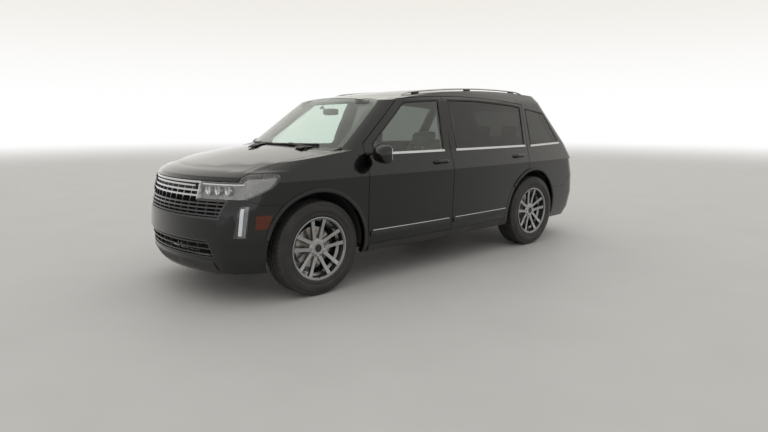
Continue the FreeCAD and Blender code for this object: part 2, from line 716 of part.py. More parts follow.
# Rear: tailgate with its glass, lamps and bumper
PLATE_Z = 900
gate = wall(tail, 0, skin, rear_prism(GATE, gate_y, 2700))
gate_in = wall(tail, glass, gate_wall, rear_prism(GATE, gate_y + step, 2700, -step))
gate = gate.fuse(gate_in).cut(rear_prism(REAR_SCREEN, gate_y, 2700))
plate_x = size("plate_hole_pitch") / 2
for x in (-plate_x, plate_x):
    gate = gate.cut(Part.makeCylinder(size("plate_hole_radius"), 900, Vector(x, 2000, PLATE_Z), Vector(0, 1, 0)))
add("tailgate", gate)
add("tailgate_glass", wall(tail, 0, glass, rear_prism(REAR_SCREEN, gate_y, 2700, -seat)))
BUMPER_REAR = [
    (1700, 255), (1700, 637), (2101, 637), (2251, size("bumper_rear_z") - 3), (2800, size("bumper_rear_z") - 3),
    (2800, 255),
]
rear_bumper = wall(tail, 0, pillar, side_prism(BUMPER_REAR, -WIDE, WIDE))
add("rear_bumper", rear_bumper.cut(wheel_space(REAR_AXLE_Y, arch, -WIDE, WIDE)))
# Wheels, hubs and brakes
WHEEL_X = size("wheel_x")
TYRE_R = size("tyre_radius")
BEAD_R = size("bead_radius")
LIP_R = size("rim_lip_radius")
HALF_TREAD = size("tread_width") / 2
HALF_TYRE = size("tyre_width") / 2
HALF_RIM = size("rim_width") / 2
RIM_WALL = size("barrel_wall")
HUB_R = size("hub_radius")
DISC_R = size("disc_radius")
FACE = 38.0
FLANGE = 12.0


def revolved(points):
    """A ring turned about the wheel's axle from (x, radius) points; an arc passes through a point's middle."""
    wire = side_wire_xr(points)
    return Part.Face(wire).revolve(Vector(0, 0, 0), X_AXIS, 360)


def side_wire_xr(points):
    """Closed outline of (x, radius) points. A point with four values is reached by an arc through its last two."""
    edges = []
    for i, p in enumerate(points):
        start = points[i - 1]
        a, b = Vector(start[0], 0, start[1]), Vector(p[0], 0, p[1])
        if len(p) == 4:
            edges.append(Part.Arc(a, Vector(p[2], 0, p[3]), b).toShape())
        else:
            edges.append(Part.makeLine(a, b))
    return Part.Wire(edges)


def tyre():
    """Tyre with its cavity: beads, bulged sidewalls and a flat tread."""
    bead, lip = HALF_RIM - 12 - seat, BEAD_R + seat
    widest = LIP_R + 62
    right = [(bead, lip), (bead + 3, LIP_R), (HALF_RIM - 2, LIP_R + 5), (HALF_TYRE - 4, widest - 26), (HALF_TYRE, widest), (HALF_TYRE - 6, widest + 30)]
    right += [(HALF_TREAD, TYRE_R - 14), (HALF_TREAD - 14, TYRE_R)]
    inside = [(bead - 16, lip), (HALF_TYRE - 14, widest), (HALF_TREAD - 10, TYRE_R - 21)]
    left = [(-x, r) for x, r in reversed(right)]
    back = [(-x, r) for x, r in inside] + [(x, r) for x, r in reversed(inside)]
    return revolved(right + left + back)


def rim():
    """Cast wheel: barrel with a drop centre, hub with its bore, and pairs of curved spokes."""
    w, well = HALF_RIM, BEAD_R - 24
    outer = [(w, LIP_R), (w - 9, LIP_R), (w - 12, BEAD_R), (40, BEAD_R - 2), (26, well), (-40, well), (-56, BEAD_R - 2)]
    outer += [(-w + 12, BEAD_R), (-w + 9, LIP_R), (-w, LIP_R)]
    inner = [(-w, LIP_R - RIM_WALL), (-w + 10, BEAD_R - RIM_WALL), (-52, BEAD_R - RIM_WALL - 2), (-38, well - RIM_WALL)]
    inner += [(30, well - RIM_WALL), (44, BEAD_R - RIM_WALL - 2), (w - 8, BEAD_R - RIM_WALL), (w, LIP_R - RIM_WALL)]
    shape = revolved(outer + inner)
    hub = Part.makeCylinder(82, 34, Vector(FACE, 0, 0), X_AXIS)
    hub = hub.fuse(Part.makeCone(82, 60, 12, Vector(FACE + 34, 0, 0), X_AXIS))
    # Columns: radius, depth of the back, depth of the front, distance from the pair's middle, half width
    rows = [(60, FACE, 76, 26, 17), (150, 56, 84, 42, 14), (BEAD_R - 4, 78, 103, 60, 18)]
    depth = [(x0, r) for r, x0, _, _, _ in rows] + [(x1, r) for r, _, x1, _, _ in reversed(rows)]
    depth = [Vector(x, -120, r) for x, r in depth]
    outline = [(y - w2, r) for r, _, _, y, w2 in rows] + [(y + w2, r) for r, _, _, y, w2 in reversed(rows)]
    outline = [Vector(0, y, r) for y, r in outline]
    spoke = Part.Face(Part.makePolygon(depth + depth[:1])).extrude(Vector(0, 240, 0))
    spoke = spoke.common(Part.Face(Part.makePolygon(outline + outline[:1])).extrude(Vector(160, 0, 0)))
    spoke = spoke.common(Part.makeCylinder(BEAD_R - 4, 160, Vector(0, 0, 0), X_AXIS))
    pair = [spoke, spoke.mirror(Vector(0, 0, 0), Vector(0, 1, 0))]
    spokes = []
    count = int(size("spoke_count"))
    for i in range(count):
        for one in pair:
            turned = one.copy()
            turned.rotate(Vector(0, 0, 0), X_AXIS, i * 360.0 / count)
            spokes.append(turned)
    shape = shape.multiFuse([hub] + spokes)
    bore = Part.makeCylinder(HUB_R, 90, Vector(FACE - 10, 0, 0), X_AXIS)
    holes = []
    for i in range(LUG_COUNT):
        hole = Part.makeCylinder(LUG_R, 90, Vector(FACE - 10, 0, LUG_CIRCLE / 2), X_AXIS)
        hole.rotate(Vector(0, 0, 0), X_AXIS, (i + 0.5) * 360.0 / LUG_COUNT)
        holes.append(hole)
    return shape.cut(Part.makeCompound([bore] + holes))


LUG_COUNT, LUG_CIRCLE, LUG_R = int(size("lug_count")), size("lug_circle"), size("lug_hole_radius")


def brake_disc():
    """Vented disc with its hat and the hub's nose."""
    disc = Part.makeCylinder(DISC_R, 26, Vector(FACE - 62, 0, 0), X_AXIS)
    hat = Part.makeCylinder(84, 62, Vector(FACE - 62, 0, 0), X_AXIS)
    nose_part = Part.makeCylinder(HUB_R - 2, 24, Vector(FACE, 0, 0), X_AXIS)
    axle = Part.makeCylinder(30, 40, Vector(FACE - 102, 0, 0), X_AXIS)
    return disc.multiFuse([hat, nose_part, axle])


def carrier(rear):
    """Knuckle round the hub's stub, with its arms and the brake caliper behind the wheel."""
    body_part = Part.makeCylinder(62, 30, Vector(FACE - 104, 0, 0), X_AXIS)
    body_part = body_part.fuse(slab(FACE - 104, FACE - 74, -34, 34, -120, 150))
    body_part = body_part.cut(Part.makeCylinder(30 + seat, 60, Vector(FACE - 120, 0, 0), X_AXIS))
    sector = Part.makeCylinder(DISC_R + 22, 66, Vector(FACE - 104, 0, 0), X_AXIS)
    sector = sector.cut(Part.makeCylinder(112, 200, Vector(FACE - 150, 0, 0), X_AXIS))
    sector = sector.common(slab(-200, 200, 0 if not rear else -300, 300 if not rear else 0, -70, 70))
    sector = sector.cut(Part.makeCylinder(DISC_R + 6, 38, Vector(FACE - 68, 0, 0), X_AXIS))
    bridge = slab(FACE - 104, FACE - 80, 40, 150, -40, 40)
    if rear:
        bridge = slab(FACE - 104, FACE - 80, -150, -40, -40, 40)
    return body_part.multiFuse([sector, bridge])


left_tyre, left_rim, left_disc = tyre(), rim(), brake_disc()
AXLES = [("front", FRONT_AXLE_Y), ("rear", REAR_AXLE_Y)]
for row, axle_y in AXLES:
    hub_carrier = carrier(row == "rear")
    for name, sign in SIDES:
        for kind, shape in (("tyre", left_tyre), ("rim", left_rim), ("brake", left_disc), ("knuckle", hub_carrier)):
            placed = shape if sign > 0 else mirrored(shape)
            placed = placed.copy()
            placed.translate(Vector(sign * WHEEL_X, axle_y, AXLE_Z))
            add(f"{kind}_{row}_{name}", placed)

# Floor with firewall, wheel wells and side rails
floor_z = size("floor_z")
floor_wall = size("floor_wall")
well_x = size("arch_well_x")
FIREWALL_Y = -1150
RISE_Y = 880
REAR_FLOOR_Z = 600
IN_X = 790
PAN_X = 900
FIREWALL_TOP = 1054
WELL_LOW = 358


def wheel_well(axle_y):
    """Liner over a wheel: an arched band and its inner wall."""
    r0 = arch + 5
    band = Part.makeCylinder(r0 + 8, 880 - well_x, Vector(well_x, axle_y, AXLE_Z), X_AXIS)
    band = band.cut(Part.makeCylinder(r0, 900, Vector(well_x + 8, axle_y, AXLE_Z), X_AXIS))
    return band.common(slab(0, WIDE, axle_y - 600, axle_y + 600, WELL_LOW, FAR))


pan = slab(-PAN_X, PAN_X, FIREWALL_Y, RISE_Y + 20, floor_z - floor_wall, floor_z)
riser = slab(-IN_X, IN_X, RISE_Y, RISE_Y + 20, floor_z - floor_wall, REAR_FLOOR_Z)
rear_pan = slab(-PAN_X, PAN_X, RISE_Y, 2380, REAR_FLOOR_Z - 20, REAR_FLOOR_Z)
back_panel = slab(-680, 680, 2364, 2380, REAR_FLOOR_Z - 20, 742)
firewall = slab(-IN_X, IN_X, FIREWALL_Y, FIREWALL_Y + 16, floor_z - floor_wall, FIREWALL_TOP)
rail_x = size("rail_x")
RAIL_HALF = 40
rails = [slab(s * rail_x - RAIL_HALF, s * rail_x + RAIL_HALF, -2330, FIREWALL_Y + 10, 440, 560) for s in (1, -1)]
tunnel = slab(-150, 150, FIREWALL_Y, RISE_Y + 10, floor_z - 10, floor_z + 110)
tunnel_space = slab(-126, 126, FIREWALL_Y - 10, RISE_Y - 30, 0, floor_z + 90)
room = master(shell, IN_DOOR)
pan = pan.common(room)
rear_pan = rear_pan.common(room)
floor_parts = [riser, rear_pan, back_panel, firewall, tunnel] + rails
floor = pan.multiFuse(floor_parts)
space = [wheel_space(y, arch + 9, -WIDE, -well_x) for _, y in AXLES] + [wheel_space(y, arch + 9, well_x) for _, y in AXLES]
floor = floor.cut(Part.makeCompound(space)).cut(tunnel_space)
wells = [wheel_well(FRONT_AXLE_Y).common(master(bay, panel))]
wells += [wheel_well(REAR_AXLE_Y).common(room)]
wells += [mirrored(w) for w in wells]
floor = floor.multiFuse(wells)
add("floor", floor)

# Engine bay and running gear below
add("engine", slab(-300, 300, -2080, -1480, 330 + seat, 1010))
half = rail_x - RAIL_HALF - seat
radiator = slab(-half, half, -2329, -2279, 430, 880)
hood_stops = [slab(s * 250 - 12, s * 250 + 12, -2316, -2292, 870, 1100) for s in (1, -1)]
hood_stops = Part.makeCompound(hood_stops).common(crowned_block(HOOD_TOP, panel + seat))
add("radiator", radiator.fuse(hood_stops))
front_cross = slab(-430, 430, -1720, -1470, 250, 330)
rear_cross = slab(-430, 430, 1230, 1560, 300, 380)
arms = []
knuckle_in = WHEEL_X + FACE - 104
for axle_y, low, high, reach in (
        (FRONT_AXLE_Y, 250, 279 - seat, knuckle_in + 16), (REAR_AXLE_Y, 312, 350, knuckle_in - seat)):
    for name, sign in SIDES:
        points = [(420, axle_y - 110), (420, axle_y + 110), (reach, axle_y + 26), (reach, axle_y - 26)]
        corners = [Vector(sign * x, y, low) for x, y in points]
        arms.append(Part.Face(Part.makePolygon(corners + corners[:1])).extrude(Vector(0, 0, high - low)))
posts = [slab(s * rail_x - 30, s * rail_x + 30, y, y + 50, 320, 440 - seat) for s in (1, -1) for y in (-1715, -1525)]
add("front_subframe", front_cross.multiFuse(arms[:2] + posts))
posts = [slab(s * 390 - 30, s * 390 + 30, y, y + 50, 370, REAR_FLOOR_Z - 20 - seat) for s in (1, -1) for y in (1235, 1505)]
add("rear_subframe", rear_cross.multiFuse(arms[2:] + posts))
pipe = Part.makeCylinder(32, 3200, Vector(-230, -1400, 262), Vector(0, 1, 0))
muffler = Part.makeCylinder(110, 520, Vector(-230, 1750, 345), Vector(0, 1, 0))
strap = slab(-240, -220, 1990, 2030, 440, REAR_FLOOR_Z - 20 - seat)
bracket = slab(-236, -224, -20, 20, 280, floor_z - floor_wall - seat)
add("exhaust", pipe.multiFuse([muffler, strap, bracket]))
add("fuel_tank", slab(140, 560, 250, 830, 235, floor_z - floor_wall - seat))

# Seats, dashboard and steering wheel


def rounded(x0, x1, y0, y1, z0, z1, radius):
    """A block with its long edges rounded in side view."""
    return side_prism(round_wire([(y0, z0), (y1, z0), (y1, z1), (y0, z1)], radius), x0, x1)


def seat_shape(x, half, y, z, back_z, head):
    """A seat with its plinth, cushion, leaning back and headrest."""
    plinth = slab(x - half + 60, x + half - 60, y + 60, y + 460, z, z + 170)
    cushion = rounded(x - half, x + half, y, y + 520, z + 160, z + 300, 50)
    back = rounded(x - half + 10, x + half - 10, 0, 130, 0, back_z - z - 230, 50)
    back.rotate(Vector(0, 0, 0), X_AXIS, -14)
    back.translate(Vector(0, y + 440, z + 240))
    top_y = y + 440 + (back_z - z - 230) * math.sin(math.radians(14))
    parts = [cushion, back]
    for hx in head:
        post = slab(hx - 40, hx + 40, top_y + 20, top_y + 60, back_z - 60, back_z + 60)
        rest = rounded(hx - 125, hx + 125, top_y - 10, top_y + 90, back_z + 30, back_z + 190, 40)
        parts += [post, rest]
    return plinth.multiFuse(parts)


front_seats = [seat_shape(s * 385, 255, -560, floor_z + seat, 1120, [s * 385]) for s in (1, -1)]
add("front_seats", Part.makeCompound(front_seats))
second = seat_shape(0, 650, 300, floor_z + 110 + seat, 1130, [-400, 400])
second = second.multiFuse([slab(s * 420 - 170, s * 420 + 170, 380, 740, floor_z + seat, 500) for s in (1, -1)])
third = seat_shape(0, 440, 1250, REAR_FLOOR_Z + seat, 1200, [-230, 230])
add("rear_seats", Part.makeCompound([second, third]))
dash = slab(-760, 760, FIREWALL_Y + 16 + seat, -800, 800, 1085)
dash = dash.fuse(slab(-560, 560, -1330, -1100, FIREWALL_TOP + seat, 1085))
dash = dash.fuse(slab(-140, 140, -900, -620, floor_z + 110 + seat, 830))
add("dashboard", dash)
ring = Part.Face(Part.makePolygon([Vector(182 + 15 * math.cos(a), 0, 15 * math.sin(a)) for a in
                                   [i * math.pi / 5 for i in range(10)] + [0.0]])).revolve(Vector(0, 0, 0), Z_AXIS, 360)
boss = Part.makeCylinder(70, 40, Vector(0, 0, -20))
spokes = slab(-178, 178, -20, 20, -10, 8)
column = Part.makeCylinder(28, 163, Vector(0, 0, -163))
wheel = ring.multiFuse([boss, spokes, column])
wheel.rotate(Vector(0, 0, 0), X_AXIS, -65)
wheel.translate(Vector(385, -640, 985))
add("steering_wheel", wheel)
shell_outline = Part.Face(side_wire(round_wire([(960, 1075), (1160, 1075), (1160, 1245), (960, 1245)], 45)))
shell_outline.rotate(Vector(0, 0, 0), Z_AXIS, -90)
shell_outline.translate(Vector(0, -985, 0))
mirror_shell = shell_outline.extrude(Vector(0, -115, 0))
front_edges = [e for e in mirror_shell.Edges if e.BoundBox.YMax < -1099]
mirror_shell = mirror_shell.makeChamfer(30, front_edges)
mirror_arm = slab(880, 980, -1075, -1035, 1150, 1185)
mirror_left = mirror_shell.fuse(mirror_arm).cut(master(flank, OUTSIDE))
for name, sign in SIDES:
    add(f"mirror_{name}", mirror_left if sign > 0 else mirrored(mirror_left))

# Every piece is whole before anything is written
PIECES = doc.findObjects("Part::Feature")
for piece in PIECES:
    shape = piece.Shape
    if "Invalid" in piece.State or "Error" in piece.State or shape.isNull() or not shape.isValid():
        raise ValueError(f"{piece.Label} failed")
os.makedirs("parts", exist_ok=True)
for piece in PIECES:
    shape = piece.Shape
    print(piece.Label, len(shape.Solids), "solids", round(shape.Volume / 1e6, 2), "litres")
    shape.exportStep(f"parts/{piece.Label}.step")
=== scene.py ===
# %% [markdown]
# A large three-row sport utility vehicle stands in a white studio on a pale grey floor. The metal, the glass and
# the running gear come from the CAD frame, in metres, with +Z up, the nose towards -Y and the left side on +X. This
# script adds what the frame leaves out: tread, lamps, trim, padding and the finish of every surface.
# %% Load the frame
import json
import math
import bmesh
import bpy
from mathutils import Matrix, Vector
from mathutils.bvhtree import BVHTree


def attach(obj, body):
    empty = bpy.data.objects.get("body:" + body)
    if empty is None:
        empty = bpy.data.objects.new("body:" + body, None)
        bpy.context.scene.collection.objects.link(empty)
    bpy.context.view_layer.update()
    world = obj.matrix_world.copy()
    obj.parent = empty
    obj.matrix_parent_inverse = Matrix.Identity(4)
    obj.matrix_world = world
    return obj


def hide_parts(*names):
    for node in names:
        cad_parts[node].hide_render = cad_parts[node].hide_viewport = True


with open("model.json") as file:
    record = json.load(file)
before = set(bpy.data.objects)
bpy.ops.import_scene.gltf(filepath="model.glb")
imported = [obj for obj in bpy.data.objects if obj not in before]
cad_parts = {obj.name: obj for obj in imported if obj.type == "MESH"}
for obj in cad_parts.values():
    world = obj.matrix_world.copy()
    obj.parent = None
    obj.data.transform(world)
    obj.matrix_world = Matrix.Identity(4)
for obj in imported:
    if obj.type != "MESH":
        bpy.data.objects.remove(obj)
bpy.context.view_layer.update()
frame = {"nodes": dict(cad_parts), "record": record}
NODES = frame["nodes"]

# %% [markdown]
# The camera stands as tall as a short person, ahead of the left front corner. A wide lens makes the nose large and
# the tail small, which is much of the picture's character, so the lens comes before anything else.
# %% Camera
camera_data = bpy.data.cameras.new("studio_camera")
camera_data.sensor_width = 36.0
camera_data.lens = 26.58
camera_data.clip_end = 400.0
camera = bpy.data.objects.new("studio_camera", camera_data)
bpy.context.scene.collection.objects.link(camera)
camera.location = (4.7209, -4.1929, 1.4646)
camera.rotation_euler = Vector((-0.74326, 0.64680, -0.17091)).to_track_quat("-Z", "Y").to_euler()
bpy.context.scene.camera = camera
bpy.context.scene.view_settings.view_transform = "Standard"
print("camera", [round(v, 3) for v in camera.location])

# %% [markdown]
# Shader trees are quick to write with a few helpers. The main one adds a node and fills its sockets in order or by
# name, and links a socket where the value is one. Three more wrap the steps that come up most.
# %% Helpers for shader trees


def fill(tree, socket, value):
    """Links a socket, or sets its plain value."""
    if isinstance(value, bpy.types.NodeSocket):
        tree.links.new(value, socket)
    elif hasattr(value, "__len__") and len(value) == 3 and socket.type == "RGBA":
        socket.default_value = (*value, 1.0)
    else:
        socket.default_value = value


def put(tree, kind, *inputs, **settings):
    """A shader node: inputs fill its sockets in order, settings fill sockets or properties by name."""
    made = tree.nodes.new("ShaderNode" + kind)
    for name, value in settings.items():
        label = name.replace("_", " ")
        if label in made.inputs:
            fill(tree, made.inputs[label], value)
        else:
            setattr(made, name, value)
    for socket, value in zip(made.inputs, inputs):
        fill(tree, socket, value)
    return made


def math_of(tree, operation, a, b=0.0, clamp=False):
    """The result of one arithmetic step."""
    return put(tree, "Math", a, b, operation=operation, use_clamp=clamp).outputs[0]


def between(tree, mask, low, high):
    """A value that goes from low to high with the mask."""
    return put(tree, "MapRange", mask, 0.0, 1.0, low, high).outputs[0]


def tint(tree, mask, low, high):
    """A colour that goes from low to high with the mask."""
    made = put(tree, "Mix", data_type="RGBA")
    fill(tree, made.inputs[0], mask)
    fill(tree, made.inputs[6], low)
    fill(tree, made.inputs[7], high)
    return made.outputs[2]


print("tree helpers", [helper.__name__ for helper in (fill, put, math_of, between, tint)])

# %% [markdown]
# A material starts from its Principled BSDF with plain values. What several materials share is an effect, a node
# group with named sockets, which is built once and placed in each with values of its own.
# %% Helpers for materials and effects


def material(name, **plain):
    """A new material with plain values on its Principled BSDF."""
    made = bpy.data.materials.new(name)
    made.use_nodes = True
    surface = made.node_tree.nodes["Principled BSDF"]
    for key, value in plain.items():
        fill(made.node_tree, surface.inputs[key.replace("_", " ")], value)
    return made, made.node_tree, surface


def effect(name, inputs, outputs):
    """An empty shader node group with named sockets, given as (label, kind, value) and (label, kind)."""
    tree = bpy.data.node_groups.new(name, "ShaderNodeTree")
    for label, kind, value in inputs:
        tree.interface.new_socket(label, in_out="INPUT", socket_type="NodeSocket" + kind).default_value = value
    for label, kind in outputs:
        tree.interface.new_socket(label, in_out="OUTPUT", socket_type="NodeSocket" + kind)
    return tree, tree.nodes.new("NodeGroupInput").outputs, tree.nodes.new("NodeGroupOutput").inputs


def place(tree, group, **settings):
    """An effect placed in a material with its own values."""
    made = tree.nodes.new("ShaderNodeGroup")
    made.node_tree = group
    for key, value in settings.items():
        fill(tree, made.inputs[key.replace("_", " ")], value)
    return made.outputs


print("material helpers", [helper.__name__ for helper in (material, effect, place)])

# %% [markdown]
# Dust gathers low on a car and on its level faces. The effect reads the height over the floor and breaks it up with
# noise, and every outside material mixes a little of it in, so that the car looks driven and the finishes agree.
# %% Effect: road dust
dust, dust_in, dust_out = effect(
    "road_dust", [("Height", "Float", 0.6), ("Amount", "Float", 0.3), ("Scale", "Float", 7.0)], [("Mask", "Float")])
spot = put(dust, "NewGeometry").outputs["Position"]
level = put(dust, "SeparateXYZ", spot).outputs["Z"]
low = math_of(dust, "SUBTRACT", 1.0, math_of(dust, "DIVIDE", level, dust_in["Height"], True), True)
cloud = put(dust, "TexNoise", Vector=spot, Scale=dust_in["Scale"], Detail=5.0, Roughness=0.62).outputs[0]
patch = put(dust, "MapRange", cloud, 0.35, 0.75, 0.25, 1.0).outputs[0]
dust.links.new(math_of(dust, "MULTIPLY", math_of(dust, "MULTIPLY", low, patch), dust_in["Amount"], True),
               dust_out[0])
print("effect", dust.name, [s.name for s in dust.interface.items_tree])

# %% [markdown]
# Sprayed lacquer is never a perfect mirror: it has a faint ripple called orange peel. A fine noise bump makes the
# reflections of the studio waver a little, which is what tells paint from glass.
# %% Effect: orange peel
peel, peel_in, peel_out = effect(
    "orange_peel", [("Scale", "Float", 260.0), ("Strength", "Float", 0.05)], [("Normal", "Vector")])
place_on = put(peel, "TexCoord").outputs["Object"]
ripple = put(peel, "TexNoise", Vector=place_on, Scale=peel_in["Scale"], Detail=1.0).outputs[0]
bump = put(peel, "Bump", Strength=peel_in["Strength"], Distance=0.0006, Height=ripple)
peel.links.new(bump.outputs[0], peel_out[0])
print("effect", peel.name)

# %% [markdown]
# Moulded plastic, rubber and leather all have a pebbled skin, only at other sizes and depths. One effect of Voronoi
# cells and noise serves them all: it gives the bumped normal, and a mask of the cells' valleys for painted shade
# there.
# %% Effect: moulded grain
grain, grain_in, grain_out = effect(
    "moulded_grain", [("Scale", "Float", 900.0), ("Depth", "Float", 0.3), ("Wander", "Float", 0.4)],
    [("Normal", "Vector"), ("Valley Shade", "Float")])
on_piece = put(grain, "TexCoord").outputs["Object"]
wander = put(grain, "TexNoise", Vector=on_piece, Scale=grain_in["Scale"], Detail=3.0).outputs["Color"]
mixed = put(grain, "Mix", data_type="VECTOR")
fill(grain, mixed.inputs[0], 0.002)
fill(grain, mixed.inputs[4], on_piece)
fill(grain, mixed.inputs[5], wander)
cells = put(grain, "TexVoronoi", Vector=mixed.outputs[1], Scale=grain_in["Scale"],
            feature="DISTANCE_TO_EDGE").outputs[0]
pebble = put(grain, "MapRange", cells, 0.0, 0.28, 0.0, 1.0).outputs[0]
soft = put(grain, "TexNoise", Vector=on_piece, Scale=math_of(grain, "MULTIPLY", grain_in["Scale"], 0.2)).outputs[0]
height = math_of(grain, "ADD", pebble, math_of(grain, "MULTIPLY", soft, grain_in["Wander"]))
pressed = put(grain, "Bump", Strength=grain_in["Depth"], Distance=0.0008, Height=height)
grain.links.new(pressed.outputs[0], grain_out["Normal"])
# The valley mask is painted shade: it darkens the hollows of the grain.
grain.links.new(math_of(grain, "SUBTRACT", 1.0, pebble, True), grain_out["Valley Shade"])
print("effect", grain.name)

# %% [markdown]
# Cast and rolled metal is uneven in brightness, with marks of casting, heat and rust. The effect is noise at two
# sizes: a broad one for stains and a fine one for the skin of the casting.
# %% Effect: metal skin
skin_tree, skin_in, skin_out = effect(
    "metal_skin", [("Scale", "Float", 30.0), ("Roughness", "Float", 0.3), ("Bump", "Float", 0.1)],
    [("Stain", "Float"), ("Roughness", "Float"), ("Normal", "Vector")])
at = put(skin_tree, "TexCoord").outputs["Object"]
broad = put(skin_tree, "TexNoise", Vector=at, Scale=skin_in["Scale"], Detail=6.0, Roughness=0.6).outputs[0]
fine = put(skin_tree, "TexNoise", Vector=at, Scale=math_of(skin_tree, "MULTIPLY", skin_in["Scale"], 22.0),
           Detail=2.0)
stain = put(skin_tree, "MapRange", broad, 0.4, 0.68, 0.0, 1.0).outputs[0]
skin_tree.links.new(stain, skin_out["Stain"])
uneven = math_of(skin_tree, "MULTIPLY", math_of(skin_tree, "SUBTRACT", broad, 0.5), 0.25)
skin_tree.links.new(math_of(skin_tree, "ADD", skin_in["Roughness"], uneven, True), skin_out["Roughness"])
cast = put(skin_tree, "Bump", Strength=skin_in["Bump"], Distance=0.0007, Height=fine.outputs[0])
skin_tree.links.new(cast.outputs[0], skin_out["Normal"])
print("effect", skin_tree.name)

# %% [markdown]
# The body is painted near-black with a little metal flake under a clear lacquer. The dark base keeps the sides black
# where they mirror the floor, the lacquer is the Principled coat, and dust dulls it low on the doors.
# %% Material: dark metallic paint
paint, tree, surface = material("dark_metallic_paint", Coat_Roughness=0.02, IOR=1.5)
flake = put(tree, "TexVoronoi", Vector=put(tree, "TexCoord").outputs["Object"], Scale=1400.0).outputs["Color"]
sparkle = put(tree, "MapRange", put(tree, "SeparateXYZ", flake).outputs["X"], 0.55, 1.0, 0.0, 1.0).outputs[0]
grime = place(tree, dust, Height=0.70, Amount=0.14)["Mask"]
coat_colour = tint(tree, sparkle, (0.0030, 0.0038, 0.0038), (0.020, 0.0225, 0.023))
fill(tree, surface.inputs["Base Color"], tint(tree, grime, coat_colour, (0.10, 0.095, 0.085)))
fill(tree, surface.inputs["Metallic"], between(tree, grime, 1.0, 0.2))
fill(tree, surface.inputs["Roughness"], between(tree, grime, 0.34, 0.7))
fill(tree, surface.inputs["Coat Weight"], between(tree, grime, 1.0, 0.35))
fill(tree, surface.inputs["Normal"], place(tree, peel, Scale=240.0, Strength=0.04)["Normal"])
print("material", paint.name)

# %% [markdown]
# Glass is a solid pane in the frame, so plain transmission bends light as the real pane does. Light Path lets
# shadow rays through a transparent shader, or the cabin would be black behind its windows.
# %% Materials: clear and privacy glass


def pane_glass(name, colour, shade):
    """Glass of one colour, whose shadow lets light of another through."""
    made, tree, surface = material(name, Base_Color=colour, Roughness=0.0, IOR=1.5, Transmission_Weight=1.0)
    smear = put(tree, "TexNoise", Vector=put(tree, "TexCoord").outputs["Object"], Scale=3.0, Detail=6.0).outputs[0]
    fill(tree, surface.inputs["Roughness"], put(tree, "MapRange", smear, 0.5, 0.8, 0.0, 0.03).outputs[0])
    through = put(tree, "BsdfTransparent", shade)
    mix = put(tree, "MixShader", put(tree, "LightPath").outputs["Is Shadow Ray"])
    tree.links.new(surface.outputs[0], mix.inputs[1])
    tree.links.new(through.outputs[0], mix.inputs[2])
    tree.links.new(mix.outputs[0], tree.nodes["Material Output"].inputs[0])
    print("material", made.name)
    return made


clear_glass = pane_glass("clear_glass", (0.76, 0.85, 0.79), (0.74, 0.82, 0.76))
privacy_glass = pane_glass("privacy_glass", (0.13, 0.135, 0.13), (0.06, 0.06, 0.06))
lens_clear = pane_glass("lamp_cover", (0.96, 0.97, 0.98), (0.92, 0.92, 0.92))
lens_red = pane_glass("tail_lamp_cover", (0.62, 0.010, 0.008), (0.5, 0.02, 0.02))
lens_amber = pane_glass("marker_cover", (0.62, 0.19, 0.015), (0.6, 0.2, 0.02))

# %% [markdown]
# Plastics and rubber differ in gloss and grain. A table gives each its colour, the painted shade of its grain's
# valleys, roughness, grain and dust, and one function makes them, because they share a build and only their numbers
# differ.
# %% Materials: plastics, rubber and leather


def grained(name, colour, valley_shade, roughness, scale, depth, dusty=0.0, tall=0.7, **plain):
    """A moulded skin of one colour with painted shade in its grain's valleys and some dust low down."""
    made, tree, surface = material(name, **plain)
    skin = place(tree, grain, Scale=scale, Depth=depth)
    grime = place(tree, dust, Height=tall, Amount=dusty)["Mask"]
    worn = put(tree, "TexNoise", Vector=put(tree, "TexCoord").outputs["Object"], Scale=9.0, Detail=5.0).outputs[0]
    # Painted shade: the grain's valleys take the second, darker colour.
    base = tint(tree, skin["Valley Shade"], colour, valley_shade)
    fill(tree, surface.inputs["Base Color"], tint(tree, grime, base, (0.16, 0.15, 0.135)))
    uneven = put(tree, "MapRange", worn, 0.3, 0.7, roughness - 0.06, roughness + 0.08).outputs[0]
    fill(tree, surface.inputs["Roughness"], uneven)
    fill(tree, surface.inputs["Normal"], skin["Normal"])
    print("material", made.name)
    return made


# Each second colour is the painted shade in the grain's valleys.
rubber = grained("tyre_rubber", (0.013, 0.013, 0.0135), (0.009, 0.009, 0.009), 0.60, 700.0, 0.12, 0.20, 0.9)
black_plastic = grained("black_trim", (0.014, 0.014, 0.015), (0.008, 0.008, 0.008), 0.46, 1100.0, 0.25, 0.3)
gloss_black = grained("gloss_black_trim", (0.006, 0.006, 0.007), (0.005, 0.005, 0.005), 0.16, 300.0, 0.0, 0.3)
dash_plastic = grained("dash_plastic", (0.022, 0.022, 0.024), (0.012, 0.012, 0.013), 0.6, 900.0, 0.35)
tank_plastic = grained("tank_plastic", (0.020, 0.020, 0.021), (0.014, 0.014, 0.015), 0.5, 500.0, 0.2, 0.5)
leather = grained("seat_leather", (0.045, 0.043, 0.042), (0.018, 0.017, 0.017), 0.46, 420.0, 0.4)
wheel_leather = grained("steering_leather", (0.018, 0.018, 0.019), (0.009, 0.009, 0.009), 0.42, 520.0, 0.4)
seal_rubber = grained("window_seal", (0.010, 0.010, 0.010), (0.007, 0.007, 0.007), 0.7, 800.0, 0.1)
carpet = grained("cabin_carpet", (0.020, 0.020, 0.021), (0.006, 0.006, 0.006), 0.95, 1500.0, 0.9)
headlining = grained("headlining_cloth", (0.36, 0.35, 0.33), (0.24, 0.235, 0.225), 0.9, 1300.0, 0.5)
floor_paint = grained("underbody_sealer", (0.030, 0.030, 0.031), (0.018, 0.018, 0.018), 0.75, 260.0, 0.6, 0.6)

# %% [markdown]
# Bare and plated metals share the metal skin effect: alloy, cast iron, mild steel and bright trim are one build with
# other colours, stains and roughness.
# %% Materials: metals


